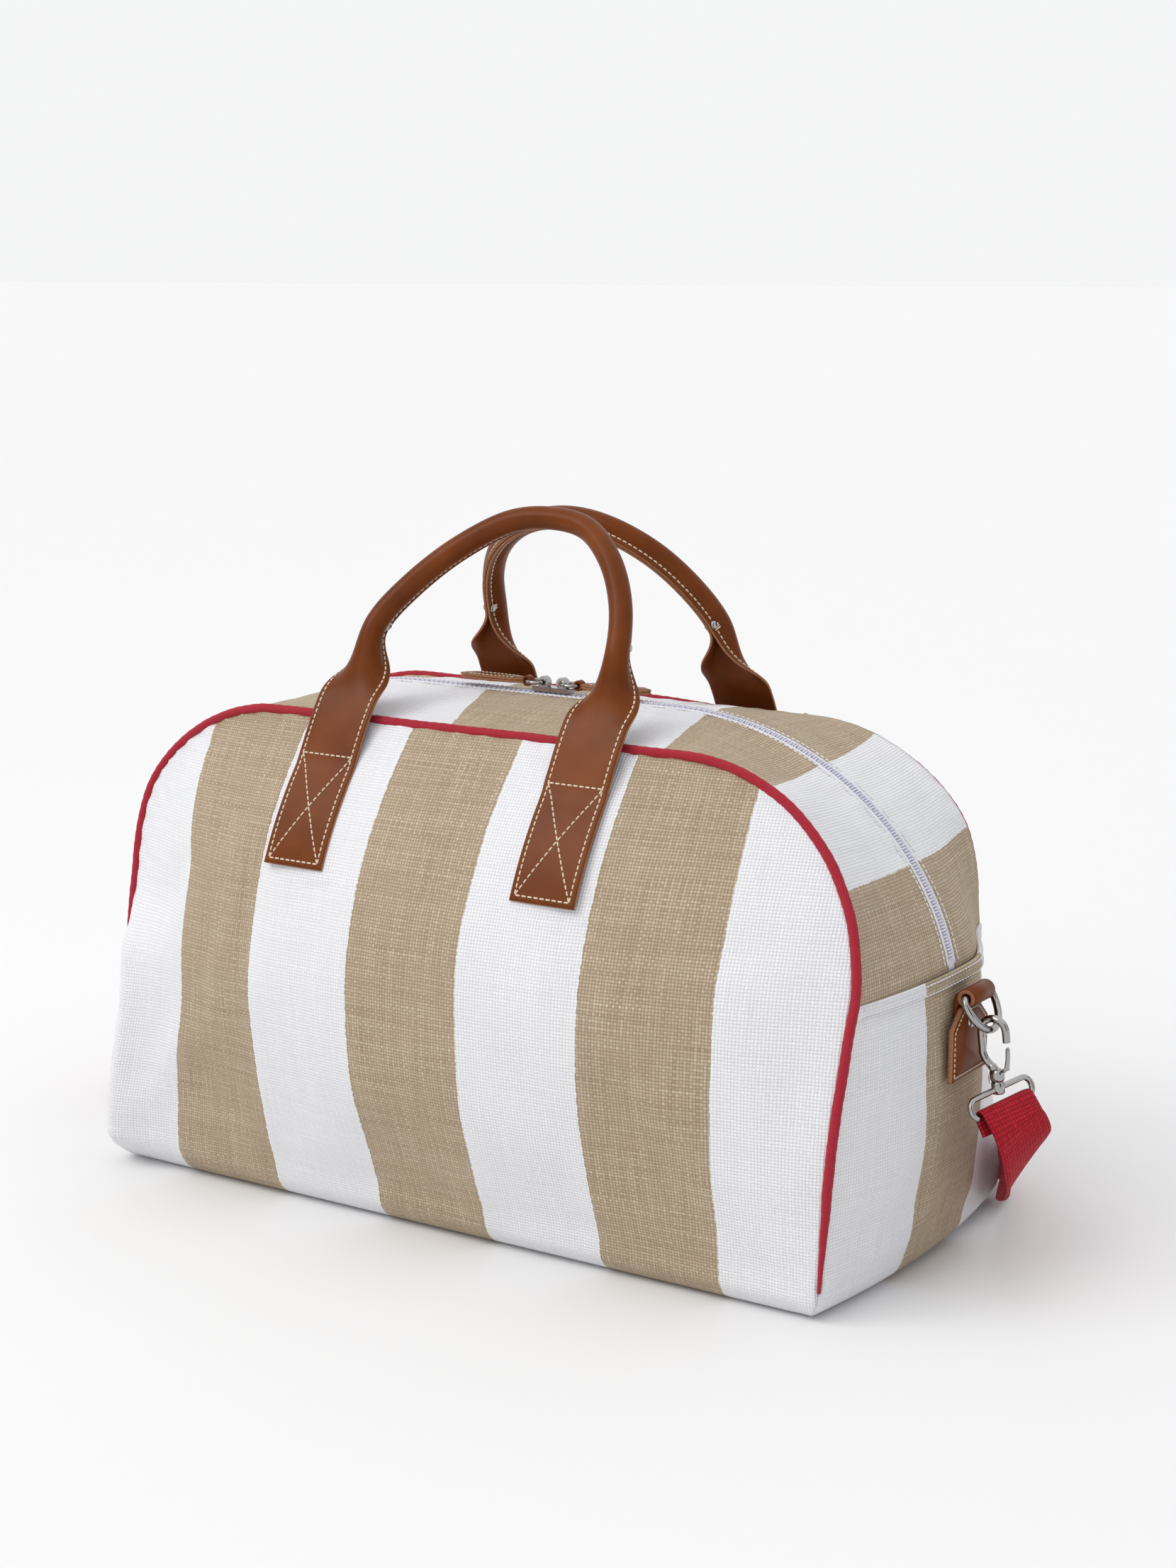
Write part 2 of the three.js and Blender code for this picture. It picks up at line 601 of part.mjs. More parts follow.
function hook() {
  const path = [vec(0, 0, -BASE_DROP - 2), vec(0, 0, -BASE_DROP + 2.5), vec(-3, 0, -BASE_DROP + 6),
    vec(-HOOK_R, 0, -BASE_DROP + 11), vec(-HOOK_R, 0, -10)];
  for (let i = 0; i <= 12; i += 1) {
    const a = Math.PI * (1 - i / 12);
    path.push(vec(HOOK_R * Math.cos(a), 0, -PLAY + HOOK_R * Math.sin(a)));
  }
  path.push(vec(HOOK_R, 0, -7));
  const radius = (t) => (t < 0.1 ? 3.8 : HOOK_WIRE);
  return hung(wire(path, radius, vec(0, 1, 0), 8));
}

function gate() {
  const foot = vec(5.6, 0, -BASE_DROP + 3.4);
  const tip = vec(HOOK_R + 0.2, 0, -9.5);
  return hung(wire([foot, foot.clone().lerp(tip, 0.5), tip], 1.5, vec(0, 1, 0), 8));
}

const swivelTop = vec(0, 0, -BASE_DROP - 2.4);
const BAR_HALF = 22;            // half length of the strap loop, to the middle of its wire
const BAR_R = 1.6;
const barAlong = vec(0.33, 0.93, 0.15).normalize();
const loopDown = vec(0.4, -0.1, -0.91);
loopDown.addScaledVector(barAlong, -loopDown.dot(barAlong)).normalize();
const swivelPoint = swivelTop.clone().applyAxisAngle(vec(0, 1, 0), -HOOK_LEAN).add(ringEnd);
const barMiddle = swivelPoint.clone().add(vec(0.3, 0, -3.4));
const LOOP_DEPTH = 10;
const LOOP_CORNER = 3;

function swivelLoop() {
  const path = [];
  const corners = [[1, 0, 1], [1, 1, -1], [-1, 1, 1], [-1, 0, -1]];
  for (const [side, low, turn] of corners) {
    for (let i = 0; i <= 3; i += 1) {
      const a = (Math.PI / 2) * (turn > 0 ? i / 3 : 1 - i / 3);
      const out = side * (BAR_HALF - LOOP_CORNER + LOOP_CORNER * Math.sin(a));
      const drop = LOOP_CORNER * (1 - Math.cos(a));
      const down = low ? LOOP_DEPTH - drop : drop;
      path.push(barMiddle.clone().addScaledVector(barAlong, out).addScaledVector(loopDown, down));
    }
  }
  const loop = wire(path, BAR_R, barAlong.clone().cross(loopDown), 6, true);
  const stem = vec(Math.sin(HOOK_LEAN), 0, -Math.cos(HOOK_LEAN));
  return joined(loop, post(3.4, 6, swivelPoint, stem, 10));
}

const sideTabRight = sideTab();
const sideLoopRight = loopTube();
for (const [side, copy] of [['right', (g) => g], ['left', mirrored]]) {
  add(`side_tab_${side}`, copy(sideTabRight.clone()), 'leather');
  add(`side_tab_rivet_${side}`, copy(rivet(4, 1.4, vec(265.1, 0, 137), vec(1, 0, 0))), 'metal');
  add(`side_loop_${side}`, copy(sideLoopRight.clone()), 'leather');
  add(`d_ring_${side}`, copy(dRing()), 'metal');
  add(`snap_hook_${side}`, copy(hook()), 'metal');
  add(`hook_gate_${side}`, copy(gate()), 'metal');
  add(`swivel_loop_${side}`, copy(swivelLoop()), 'metal');
}

// ---- Shoulder strap -------------------------------------------------------------------------
// Red webbing from loop to loop: folded over each bar, down past the corner on its edge and
// flat along the floor behind the bag.
const WEB_HALF = 18.5;
const WEB_THICK = 1.6;
const WRAP = BAR_R + 0.9 + WEB_THICK / 2;
const lowBar = barMiddle.clone().addScaledVector(loopDown, LOOP_DEPTH);

function strapStations() {
  const outward = barAlong.clone().cross(loopDown).normalize();
  if (outward.x < 0) outward.negate();
  const stations = [];
  const place = (across, down) => lowBar.clone().addScaledVector(outward, across).addScaledVector(loopDown, down);
  stations.push([place(-WRAP, 10), barAlong]);
  for (let i = 0; i <= 6; i += 1) {
    const a = Math.PI * (1 - i / 6);
    stations.push([place(WRAP * Math.cos(a), -WRAP * Math.sin(a)), barAlong]);
  }
  const run = [
    [place(WRAP + 2, 12), barAlong],
    [vec(297, 3, 74), vec(0.3, 0.9, 0.26)],
    [vec(292, 15, 61), vec(0.25, 0.76, 0.58)],
    [vec(277, 36, 48), vec(0.16, 0.55, 0.82)],
    [vec(260, 61, 39), vec(0.06, 0.4, 0.91)],
    [vec(249.5, 84, 29.5), vec(0, 0.22, 0.97)],
    [vec(244, 103, 23), vec(0, 0.1, 0.99)],
    [vec(237, 121, 20), vec(0, 0.02, 1)],
    [vec(212, 146, 20), vec(0, -0.1, 1)],
    [vec(175, 160, 16), vec(0.2, -0.55, 0.8)],
    [vec(130, 168, 8), vec(0.15, -0.93, 0.35)],
    [vec(85, 172, 2.5), vec(0, -1, 0.03)],
    [vec(0, 174, 1.2), vec(0, -1, 0)],
  ];
  return stations.concat(run.map(([p, w]) => [p, w.clone().normalize()]));
}

function webbing() {
  const half = strapStations();
  const flip = ([p, w]) => [vec(-p.x, p.y, p.z), vec(-w.x, w.y, w.z)];
  const stations = half.concat(half.slice(0, -1).reverse().map(flip));
  const smooth = [];
  const centres = new THREE.CatmullRomCurve3(stations.map(([p]) => p), false, 'centripetal');
  const spans = stations.length - 1;
  for (let k = 0; k < spans; k += 1) {
    const bend = k < 7 || k >= spans - 7;
    const parts = bend ? 1 : 3;
    for (let i = 0; i < parts; i += 1) smooth.push((k + i / parts) / spans);
  }
  smooth.push(1);
  const rings = smooth.map((t) => {
    const place = t * spans;
    const k = Math.min(Math.floor(place), spans - 1);
    const across = stations[k][1].clone().lerp(stations[k + 1][1], place - k);
    const along = centres.getTangent(t);
    across.addScaledVector(along, -across.dot(along)).normalize();
    const up = across.clone().cross(along).normalize();
    const centre = centres.getPoint(t);
    return [[1, 1], [-1, 1], [-1, -1], [1, -1]].map(([a, b]) => centre.clone()
      .addScaledVector(across, a * WEB_HALF).addScaledVector(up, (b * WEB_THICK) / 2));
  });
  return loft(rings, false, true);
}
add('strap_webbing', webbing(), 'webbing');

// Inner lining of the front and back, a thin cloth just inside the padded panel.
function liningPoint(u, v) {
  const z = 10 + (HEIGHT - 24) * v;
  const x = (2 * u - 1) * (halfLength(z, 10) - 4);
  return settled(vec(x, frontY(x, z) + CLOTH + 2, z));
}
const lining = skin(liningPoint, 10, 6, 1, middle);
add('lining_front', lining, 'lining');
add('lining_back', turned(lining), 'lining');

export default bag;
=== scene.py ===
"""Weekender bag: striped canvas, rolled leather handles, red piping and a clip-on strap."""
import math

import bpy
import numpy as np
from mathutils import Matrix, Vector, noise


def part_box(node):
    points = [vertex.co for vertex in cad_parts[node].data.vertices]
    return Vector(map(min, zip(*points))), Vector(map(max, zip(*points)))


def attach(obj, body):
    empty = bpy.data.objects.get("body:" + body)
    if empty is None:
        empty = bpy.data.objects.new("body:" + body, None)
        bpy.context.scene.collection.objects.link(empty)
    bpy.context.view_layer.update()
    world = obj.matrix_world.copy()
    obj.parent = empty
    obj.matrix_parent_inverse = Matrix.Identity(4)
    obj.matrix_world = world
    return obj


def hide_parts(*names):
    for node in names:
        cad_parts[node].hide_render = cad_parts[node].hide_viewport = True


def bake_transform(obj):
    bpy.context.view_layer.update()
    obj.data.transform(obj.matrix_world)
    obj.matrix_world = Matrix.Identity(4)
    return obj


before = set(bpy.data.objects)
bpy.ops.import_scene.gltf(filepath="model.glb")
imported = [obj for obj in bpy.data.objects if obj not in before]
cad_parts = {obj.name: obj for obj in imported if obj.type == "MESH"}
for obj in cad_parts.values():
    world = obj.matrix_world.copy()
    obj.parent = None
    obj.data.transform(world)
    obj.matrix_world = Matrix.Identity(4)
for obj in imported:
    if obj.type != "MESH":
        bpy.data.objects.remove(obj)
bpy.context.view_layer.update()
MM = 0.001

# ---- Driving sizes, in millimetres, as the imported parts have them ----
HEIGHT = 276.0  # top of the front and back panels
FOOT_HALF = 235.0  # half the length at the floor
SHOULDER_Z = 164.0  # where the upright ends turn into the round corners
SHOULDER_HALF = 246.0  # half the length there
CORNER_X = 135.0  # where the flat top turns into the round corners
CORNER_A = SHOULDER_HALF - CORNER_X
CORNER_B = HEIGHT - SHOULDER_Z
FOOT_DEPTH = 109.0  # half the depth at the floor, along the seams
DEPTH_TAPER = 37.4  # how much less it is at the top
TUCK = 14.0  # radius where the walls turn under the bag
SEAM = 1.5  # how far a panel's edge lies inside its piping
PIPING_R = 2.6
SIDE_BULGE = 18.5  # how far the short sides stand out, and the height and
BULGE_Z = 84.0  # half width of that bulge
BULGE_HALF = 118.0
SLUMP = 20.0  # how far the two soft shoulders have settled
ROLL_START = 20.0  # where the back piping begins to roll over, and how far
ROLL_IN = 4.2
ROLL_BACK = 2.0
ZIP_TOP = 285.8  # the zipper's flat top and the half axes of its round ends
ZIP_FLAT = 86.4
ZIP_A = 170.0
ZIP_B = 149.0
ZIP_HALF = 4.7
STRIPE = 72.0
THREAD = 1.75  # pitch of the canvas threads
CLOTH_THICK = 2.3
STRAP_HALF = 19.75  # half the width of a handle strap
FOOT_X = 81.5  # where the handle feet are sewn on
FOOT_TOP_Z = 259.0
TAB_END_Z = 200.0

# ---- Camera, light and floor, in metres ----
CAMERA_PLACE = (0.812, -1.2125, 0.5213)
CAMERA_TARGET = (0.0287, 0.0, 0.2368)
LENS = 80.6
SENSOR_WIDTH = 36.0
BAG_MIDDLE = (0, 0, 0.2)
BAG_END = (0.2, 0, 0.15)
STUDIO_COLOUR = (0.915, 0.917, 0.925, 1)
PAPER_COLOUR = (0.81, 0.81, 0.812, 1)
CARD_COLOUR = (0.03, 0.03, 0.035, 1)
FLOOR_REACH = 60.0


def aim(obj, target):
    """Turns a camera, lamp or card to face a point."""
    direction = Vector(target) - obj.location
    obj.rotation_euler = direction.to_track_quat("-Z", "Y").to_euler()


def area_light(name, place, target, size, power, colour=(1, 1, 1)):
    data = bpy.data.lights.new(name, "AREA")
    data.shape = "RECTANGLE"
    data.size, data.size_y = size
    data.energy = power
    data.color = colour
    lamp = bpy.data.objects.new(name, data)
    bpy.context.scene.collection.objects.link(lamp)
    lamp.location = place
    aim(lamp, target)


def sun(name, towards, power, angle, colour):
    """Soft even light from a direction."""
    data = bpy.data.lights.new(name, "SUN")
    data.energy = power
    data.angle = math.radians(angle)
    data.color = colour
    lamp = bpy.data.objects.new(name, data)
    bpy.context.scene.collection.objects.link(lamp)
    lamp.location = towards
    aim(lamp, (0, 0, 0))


def dark_card(name, place, target, size):
    """A dark panel out of view, for the polished metal to reflect."""
    w, h = size[0] / 2, size[1] / 2
    data = bpy.data.meshes.new(name)
    data.from_pydata([(-w, -h, 0), (w, -h, 0), (w, h, 0), (-w, h, 0)], [], [(0, 1, 2, 3)])
    card = bpy.data.objects.new(name, data)
    bpy.context.scene.collection.objects.link(card)
    card.location = place
    aim(card, target)
    paint = bpy.data.materials.new(name)
    paint.use_nodes = True
    paint.node_tree.nodes["Principled BSDF"].inputs["Base Color"].default_value = CARD_COLOUR
    data.materials.append(paint)
    card.visible_camera = False


def set_the_stage():
    scene = bpy.context.scene
    scene.view_settings.view_transform = "Standard"
    scene.view_settings.look = "None"
    camera_data = bpy.data.cameras.new("camera")
    camera_data.sensor_fit = "HORIZONTAL"
    camera_data.sensor_width = SENSOR_WIDTH
    camera_data.lens = LENS
    camera = bpy.data.objects.new("camera", camera_data)
    scene.collection.objects.link(camera)
    camera.location = CAMERA_PLACE
    aim(camera, CAMERA_TARGET)
    scene.camera = camera

    world = bpy.data.worlds.new("studio")
    world.use_nodes = True
    world.node_tree.nodes["Background"].inputs["Color"].default_value = STUDIO_COLOUR
    world.node_tree.nodes["Background"].inputs["Strength"].default_value = 1.0
    scene.world = world
    sun("key", (-0.52, -0.95, 1.10), 0.88, 45, (1.0, 0.985, 0.965))
    sun("top", (0.15, 0.25, 1.0), 0.16, 60, (1.0, 1.0, 1.0))
    area_light("gleam", (-1.1, -1.3, 1.7), BAG_MIDDLE, (0.9, 0.5), 7, (1.0, 0.99, 0.97))
    dark_card("left_flag", (-2.2, -1.9, 0.7), BAG_MIDDLE, (1.3, 1.6))
    dark_card("right_flag", (2.2, -0.75, 0.9), BAG_END, (1.0, 1.5))
    dark_card("far_flag", (2.2, 1.9, 0.8), BAG_END, (0.9, 1.3))

    floor_mesh = bpy.data.meshes.new("floor")
    corners = [(x * FLOOR_REACH, y * FLOOR_REACH, 0) for x, y in ((-1, -1), (1, -1), (1, 1), (-1, 1))]
    floor_mesh.from_pydata(corners, [], [(0, 1, 2, 3)])
    floor = bpy.data.objects.new("floor", floor_mesh)
    scene.collection.objects.link(floor)
    paint = bpy.data.materials.new("floor_paper")
    paint.use_nodes = True
    shader = paint.node_tree.nodes["Principled BSDF"]
    shader.inputs["Base Color"].default_value = PAPER_COLOUR
    shader.inputs["Roughness"].default_value = 0.85
    shader.inputs["Specular IOR Level"].default_value = 0.1
    floor_mesh.materials.append(paint)


set_the_stage()


# ---- Material helpers ----
class Paint:
    """A node material with short helpers for procedural patterns."""

    def __init__(self, name):
        self.material = bpy.data.materials.new(name)
        self.material.use_nodes = True
        self.tree = self.material.node_tree
        self.shader = self.tree.nodes["Principled BSDF"]

    def node(self, kind, **values):
        made = self.tree.nodes.new(kind)
        for key, value in values.items():
            setattr(made, key, value)
        return made

    def link(self, source, target):
        self.tree.links.new(source, target)

    def put(self, value, socket):
        """Sets a socket to a number or a colour, or links it to another node."""
        if isinstance(value, (int, float)):
            socket.default_value = value
        elif isinstance(value, tuple):
            socket.default_value = (*value, 1)
        else:
            self.link(value, socket)

    def math(self, operation, a, b=None, c=None):
        made = self.node("ShaderNodeMath", operation=operation)
        for socket, value in zip(made.inputs, (a, b, c)):
            if value is not None:
                self.put(value, socket)
        return made.outputs[0]

    def times(self, a, b):
        return self.math("MULTIPLY", a, b)

    def plus(self, a, b):
        return self.math("ADD", a, b)

    def rest_of(self, a):
        """What is left of one."""
        return self.math("SUBTRACT", 1.0, a)

    def uv(self, name):
        """The two coordinates of a UV map, in millimetres."""
        made = self.node("ShaderNodeUVMap", uv_map=name)
        split = self.node("ShaderNodeSeparateXYZ")
        self.link(made.outputs["UV"], split.inputs[0])
        return split.outputs["X"], split.outputs["Y"]

    def vector(self, x, y, z=0.0):
        made = self.node("ShaderNodeCombineXYZ")
        for socket, value in zip(made.inputs, (x, y, z)):
            self.put(value, socket)
        return made.outputs[0]

    def object_mm(self):
        made = self.node("ShaderNodeTexCoord")
        scaled = self.node("ShaderNodeVectorMath", operation="SCALE")
        self.link(made.outputs["Object"], scaled.inputs[0])
        scaled.inputs["Scale"].default_value = 1 / MM
        return scaled.outputs[0]

    def noise(self, vector, scale, detail=2.0, roughness=0.5):
        made = self.node("ShaderNodeTexNoise")
        self.link(vector, made.inputs["Vector"])
        made.inputs["Scale"].default_value = scale
        made.inputs["Detail"].default_value = detail
        made.inputs["Roughness"].default_value = roughness
        return made.outputs["Fac"]

    def random(self, vector):
        made = self.node("ShaderNodeTexWhiteNoise", noise_dimensions="2D")
        self.link(vector, made.inputs["Vector"])
        return made.outputs["Value"]

    def ramp(self, factor, *stops):
        made = self.node("ShaderNodeValToRGB")
        self.link(factor, made.inputs["Fac"])
        elements = made.color_ramp.elements
        while len(elements) < len(stops):
            elements.new(0.5)
        for element, (place, colour) in zip(elements, stops):
            element.position = place
            element.color = (*colour, 1)
        return made.outputs["Color"]

    def mix(self, factor, a, b):
        made = self.node("ShaderNodeMix", data_type="RGBA")
        for key, value in (("Factor", factor), ("A", a), ("B", b)):
            self.put(value, made.inputs[key])
        return made.outputs["Result"]

    def bump(self, height, depth_mm, strength=1.0, below=None):
        made = self.node("ShaderNodeBump")
        made.inputs["Distance"].default_value = depth_mm * MM
        made.inputs["Strength"].default_value = strength
        self.link(height, made.inputs["Height"])
        if below is not None:
            self.link(below, made.inputs["Normal"])
        return made.outputs["Normal"]

    def finish(self, colour, roughness, normal, **fixed):
        self.put(colour, self.shader.inputs["Base Color"])
        self.put(normal, self.shader.inputs["Normal"])
        self.put(roughness, self.shader.inputs["Roughness"])
        for key, value in fixed.items():
            self.shader.inputs[key.replace("_", " ")].default_value = value
        return self.material


def basket_weave(paint, u, v, pitch):
    """Height of a coarse plain weave, the top thread's own shade, and a chance value per crossing."""
    su = paint.times(u, math.pi / pitch)
    sv = paint.times(v, math.pi / pitch)
    wave = paint.times(paint.math("SINE", su), paint.math("SINE", sv))
    height = paint.math("POWER", paint.math("ABSOLUTE", wave), 0.45)    # under 1 rounds the threads
    warp_on_top = paint.math("GREATER_THAN", wave, 0.0)
    column = paint.math("FLOOR", paint.math("DIVIDE", u, pitch))
    row = paint.math("FLOOR", paint.math("DIVIDE", v, pitch))
    # Each thread keeps its shade for a long way, and its neighbour has quite another one.
    stretch_u = paint.times(u, 0.02)
    stretch_v = paint.times(v, 0.02)
    warp_shade = paint.noise(paint.vector(paint.times(column, 7.31), stretch_v), 1.0, 1.0)
    weft_shade = paint.noise(paint.vector(stretch_u, paint.times(row, 5.17)), 1.0, 1.0)
    top = paint.mix(warp_on_top, weft_shade, warp_shade)
    cell = paint.random(paint.vector(column, row))
    return height, top, cell


# ---- Materials ----
def canvas(name):
    """Coarse basket-weave canvas, cut so that sand and white stripes alternate."""
    paint = Paint(name)
    u, v = paint.uv("cloth")
    across = paint.uv("stripe")[0]
    place = paint.vector(u, v)
    height, shade, cell = basket_weave(paint, u, v, THREAD)
    sand = paint.ramp(shade, (0.20, (0.400, 0.305, 0.205)), (0.5, (0.545, 0.435, 0.305)),
                      (0.80, (0.690, 0.580, 0.440)))
    sand = paint.mix(paint.times(cell, 0.24), sand, (0.330, 0.245, 0.160))
    white = paint.ramp(shade, (0.2, (0.80, 0.80, 0.82)), (0.8, (0.90, 0.90, 0.915)))
    ragged = paint.times(paint.math("SUBTRACT", cell, 0.5), 0.6)
    shifted = paint.plus(across, ragged)
    stripes = paint.math("DIVIDE", paint.math("ABSOLUTE", shifted), STRIPE)
    band = paint.math("FLOOR", paint.plus(stripes, 0.5))
    is_white = paint.math("MODULO", band, 2.0)
    colour = paint.mix(is_white, sand, white)
    gaps = paint.rest_of(height)
    shadow_sand = paint.mix(paint.times(gaps, 0.80), colour, (0.20, 0.145, 0.09))
    shadow_white = paint.mix(paint.times(gaps, 0.55), colour, (0.52, 0.53, 0.60))
    colour = paint.mix(is_white, shadow_sand, shadow_white)
    fibre = paint.noise(place, 1.6, 3.0, 0.6)
    relief = paint.plus(height, paint.times(fibre, 0.35))
    slow = paint.noise(place, 0.012, 2.0)
    normal = paint.bump(slow, 2.2, 0.5)
    normal = paint.bump(relief, 0.42, 0.85, normal)
    return paint.finish(colour, 0.88, normal, Specular_IOR_Level=0.22,
                        Sheen_Weight=0.12, Sheen_Roughness=0.5)


def plain_cloth(name, dark, light, pitch, depth, sheen=0.2):
    """A finer woven cloth in one colour, laid on a slant so that it shows on every side."""
    paint = Paint(name)
    split = paint.node("ShaderNodeSeparateXYZ")
    paint.link(paint.object_mm(), split.inputs[0])
    u = paint.plus(split.outputs["X"], paint.times(split.outputs["Y"], 0.71))
    v = paint.plus(split.outputs["Z"], paint.times(split.outputs["Y"], 0.31))
    height, shade, cell = basket_weave(paint, u, v, pitch)
    colour = paint.mix(shade, dark, light)
    colour = paint.mix(paint.times(cell, 0.18), colour, dark)
    # Painted shade: the cloth is mixed towards its dark colour in the gaps between the threads.
    colour = paint.mix(paint.times(paint.rest_of(height), 0.35), colour, dark)
    normal = paint.bump(height, depth, 0.8)
    return paint.finish(colour, 0.8, normal, Specular_IOR_Level=0.3,
                        Sheen_Weight=sheen, Sheen_Roughness=0.4)


def leather(name, raw=False):
    """Smooth tan leather with fine pores and soft creases; raw edges are paler and rougher."""
    paint = Paint(name)
    place = paint.object_mm()
    broad = paint.noise(place, 0.03, 3.0, 0.55)
    fine = paint.noise(place, 0.9, 3.0, 0.6)
    pores = paint.node("ShaderNodeTexVoronoi", feature="DISTANCE_TO_EDGE")
    paint.link(place, pores.inputs["Vector"])
    pores.inputs["Scale"].default_value = 1.5
    grain = paint.math("SMOOTH_MIN", pores.outputs["Distance"], 0.18, 0.05)
    if raw:
        colour = paint.ramp(fine, (0.25, (0.22, 0.085, 0.035)), (0.75, (0.40, 0.19, 0.10)))
        normal = paint.bump(fine, 0.25, 0.8)
        return paint.finish(colour, 0.75, normal, Specular_IOR_Level=0.3)
    colour = paint.ramp(broad, (0.30, (0.112, 0.026, 0.004)), (0.52, (0.150, 0.037, 0.006)),
                        (0.74, (0.190, 0.050, 0.010)))
    colour = paint.mix(paint.times(fine, 0.14), colour, (0.09, 0.022, 0.008))
    rough = paint.plus(0.27, paint.times(broad, 0.12))
    normal = paint.bump(grain, 0.10, 0.35)
    normal = paint.bump(fine, 0.06, 0.4, normal)
    return paint.finish(colour, rough, normal, Specular_IOR_Level=0.11)


def metal(name, colour=(0.42, 0.41, 0.40), base_rough=0.06):
    """Polished nickel with faint handling marks."""
    paint = Paint(name)
    place = paint.object_mm()
    marks = paint.noise(place, 0.6, 3.0, 0.6)
    tint = paint.mix(marks, colour, tuple(0.86 * c for c in colour))
    rough = paint.plus(base_rough, paint.times(marks, 0.10))
    return paint.finish(tint, rough, paint.bump(marks, 0.02, 0.3), Metallic=1.0)


def thread(name, colour=(0.80, 0.68, 0.50)):
    """Twisted sewing thread."""
    paint = Paint(name)
    place = paint.object_mm()
    twist = paint.noise(place, 2.4, 2.0)
    tint = paint.mix(twist, tuple(0.72 * c for c in colour), colour)
    return paint.finish(tint, 0.6, paint.bump(twist, 0.1, 0.6), Specular_IOR_Level=0.35)


def webbing_cloth(name):
    """Strap webbing: close ribs that run across its width, with a rolled edge."""
    paint = Paint(name)
    u, v = paint.uv("cloth")
    height, shade, _ = basket_weave(paint, u, v, 2.1)
    colour = paint.ramp(shade, (0.2, (0.40, 0.007, 0.020)), (0.8, (0.60, 0.020, 0.040)))
    # Painted shade: the webbing is darker in the gaps between its ribs.
    rib_gap_shade = (0.16, 0.002, 0.008)
    colour = paint.mix(paint.times(paint.rest_of(height), 0.75), colour, rib_gap_shade)
    normal = paint.bump(height, 0.6, 1.0)
    return paint.finish(colour, 0.7, normal, Specular_IOR_Level=0.12,
                        Sheen_Weight=0.06, Sheen_Roughness=0.4)


CANVAS = canvas("canvas_striped")
PIPING = plain_cloth("piping_cloth", (0.30, 0.008, 0.020), (0.45, 0.026, 0.048), 0.55, 0.12, 0.08)
TAPE = plain_cloth("zipper_tape_cloth", (0.72, 0.72, 0.80), (0.90, 0.90, 0.95), 0.6, 0.12)
LINING = plain_cloth("lining_cloth", (0.42, 0.34, 0.25), (0.58, 0.49, 0.38), 0.5, 0.1)
WEBBING = webbing_cloth("webbing_cloth")
LEATHER = leather("leather_tan")
LEATHER_EDGE = leather("leather_raw_edge", raw=True)
NICKEL = metal("nickel")
THREAD_CREAM = thread("thread_cream")
THREAD_WHITE = thread("thread_white", (0.88, 0.88, 0.90))
COIL = metal("zipper_coil", (0.70, 0.69, 0.80), 0.35)
COIL.node_tree.nodes["Principled BSDF"].inputs["Metallic"].default_value = 0.0
BOARD = plain_cloth("base_board", (0.10, 0.09, 0.08), (0.16, 0.15, 0.13), 0.9, 0.1)


# ---- Mesh helpers ----
def make(name, points, faces, materials, uvs=None, face_slots=None):
    """An object from millimetre points. uvs maps a layer name to per-point pairs, in millimetres."""
    data = bpy.data.meshes.new(name)
    data.from_pydata([tuple(c * MM for c in p) for p in points], [], faces)
    for material in materials:
        data.materials.append(material)
    if uvs:
        loop_points = np.zeros(len(data.loops), np.int64)
        data.loops.foreach_get("vertex_index", loop_points)
        for layer_name, pairs in uvs.items():
            layer = data.uv_layers.new(name=layer_name)
            layer.data.foreach_set("uv", np.asarray(pairs, np.float32)[loop_points].ravel())
    if face_slots is not None:
        data.polygons.foreach_set("material_index", np.asarray(face_slots, np.int32))
    data.polygons.foreach_set("use_smooth", np.full(len(data.polygons), True))
    data.update()
    obj = bpy.data.objects.new(name, data)
    bpy.context.scene.collection.objects.link(obj)
    return obj


class Build:
    """Collects closed bodies into one mesh."""

    def __init__(self):
        self.points = []
        self.faces = []
        self.slots = []

    def add(self, points, faces, slot=0):
        start = len(self.points)
        self.points.extend(points)
        self.faces.extend([tuple(start + i for i in f) for f in faces])
        self.slots.extend([slot] * len(faces))

    def done(self, name, materials):
        return make(name, self.points, self.faces, materials, face_slots=self.slots)


def round_angles(count):
    """Even angles round a full turn."""
    return [2 * math.pi * i / count for i in range(count)]


def grid_faces(rows, columns, flip=False):
    """Quads of a grid of points stored row by row."""
    faces = []
    for j in range(rows - 1):
        for i in range(columns - 1):
            a = j * columns + i
            quad = (a, a + 1, a + 1 + columns, a + columns)
            faces.append(quad[::-1] if flip else quad)
    return faces


def tube_faces(rings, sides, looped=False):
    """Quads of a tube of rings; the ends are capped, or joined to each other when looped."""
    faces = []
    for k in range(rings if looped else rings - 1):
        for i in range(sides):
            here = k * sides
            after = ((k + 1) % rings) * sides
            j = (i + 1) % sides
            faces.append((here + i, after + i, after + j, here + j))
    if not looped:
        faces.append(tuple(range(sides)))
        faces.append(tuple((rings - 1) * sides + i for i in range(sides))[::-1])
    return faces


def unit(v):
    v = np.asarray(v, float)
    return v / max(np.linalg.norm(v), 1e-12)


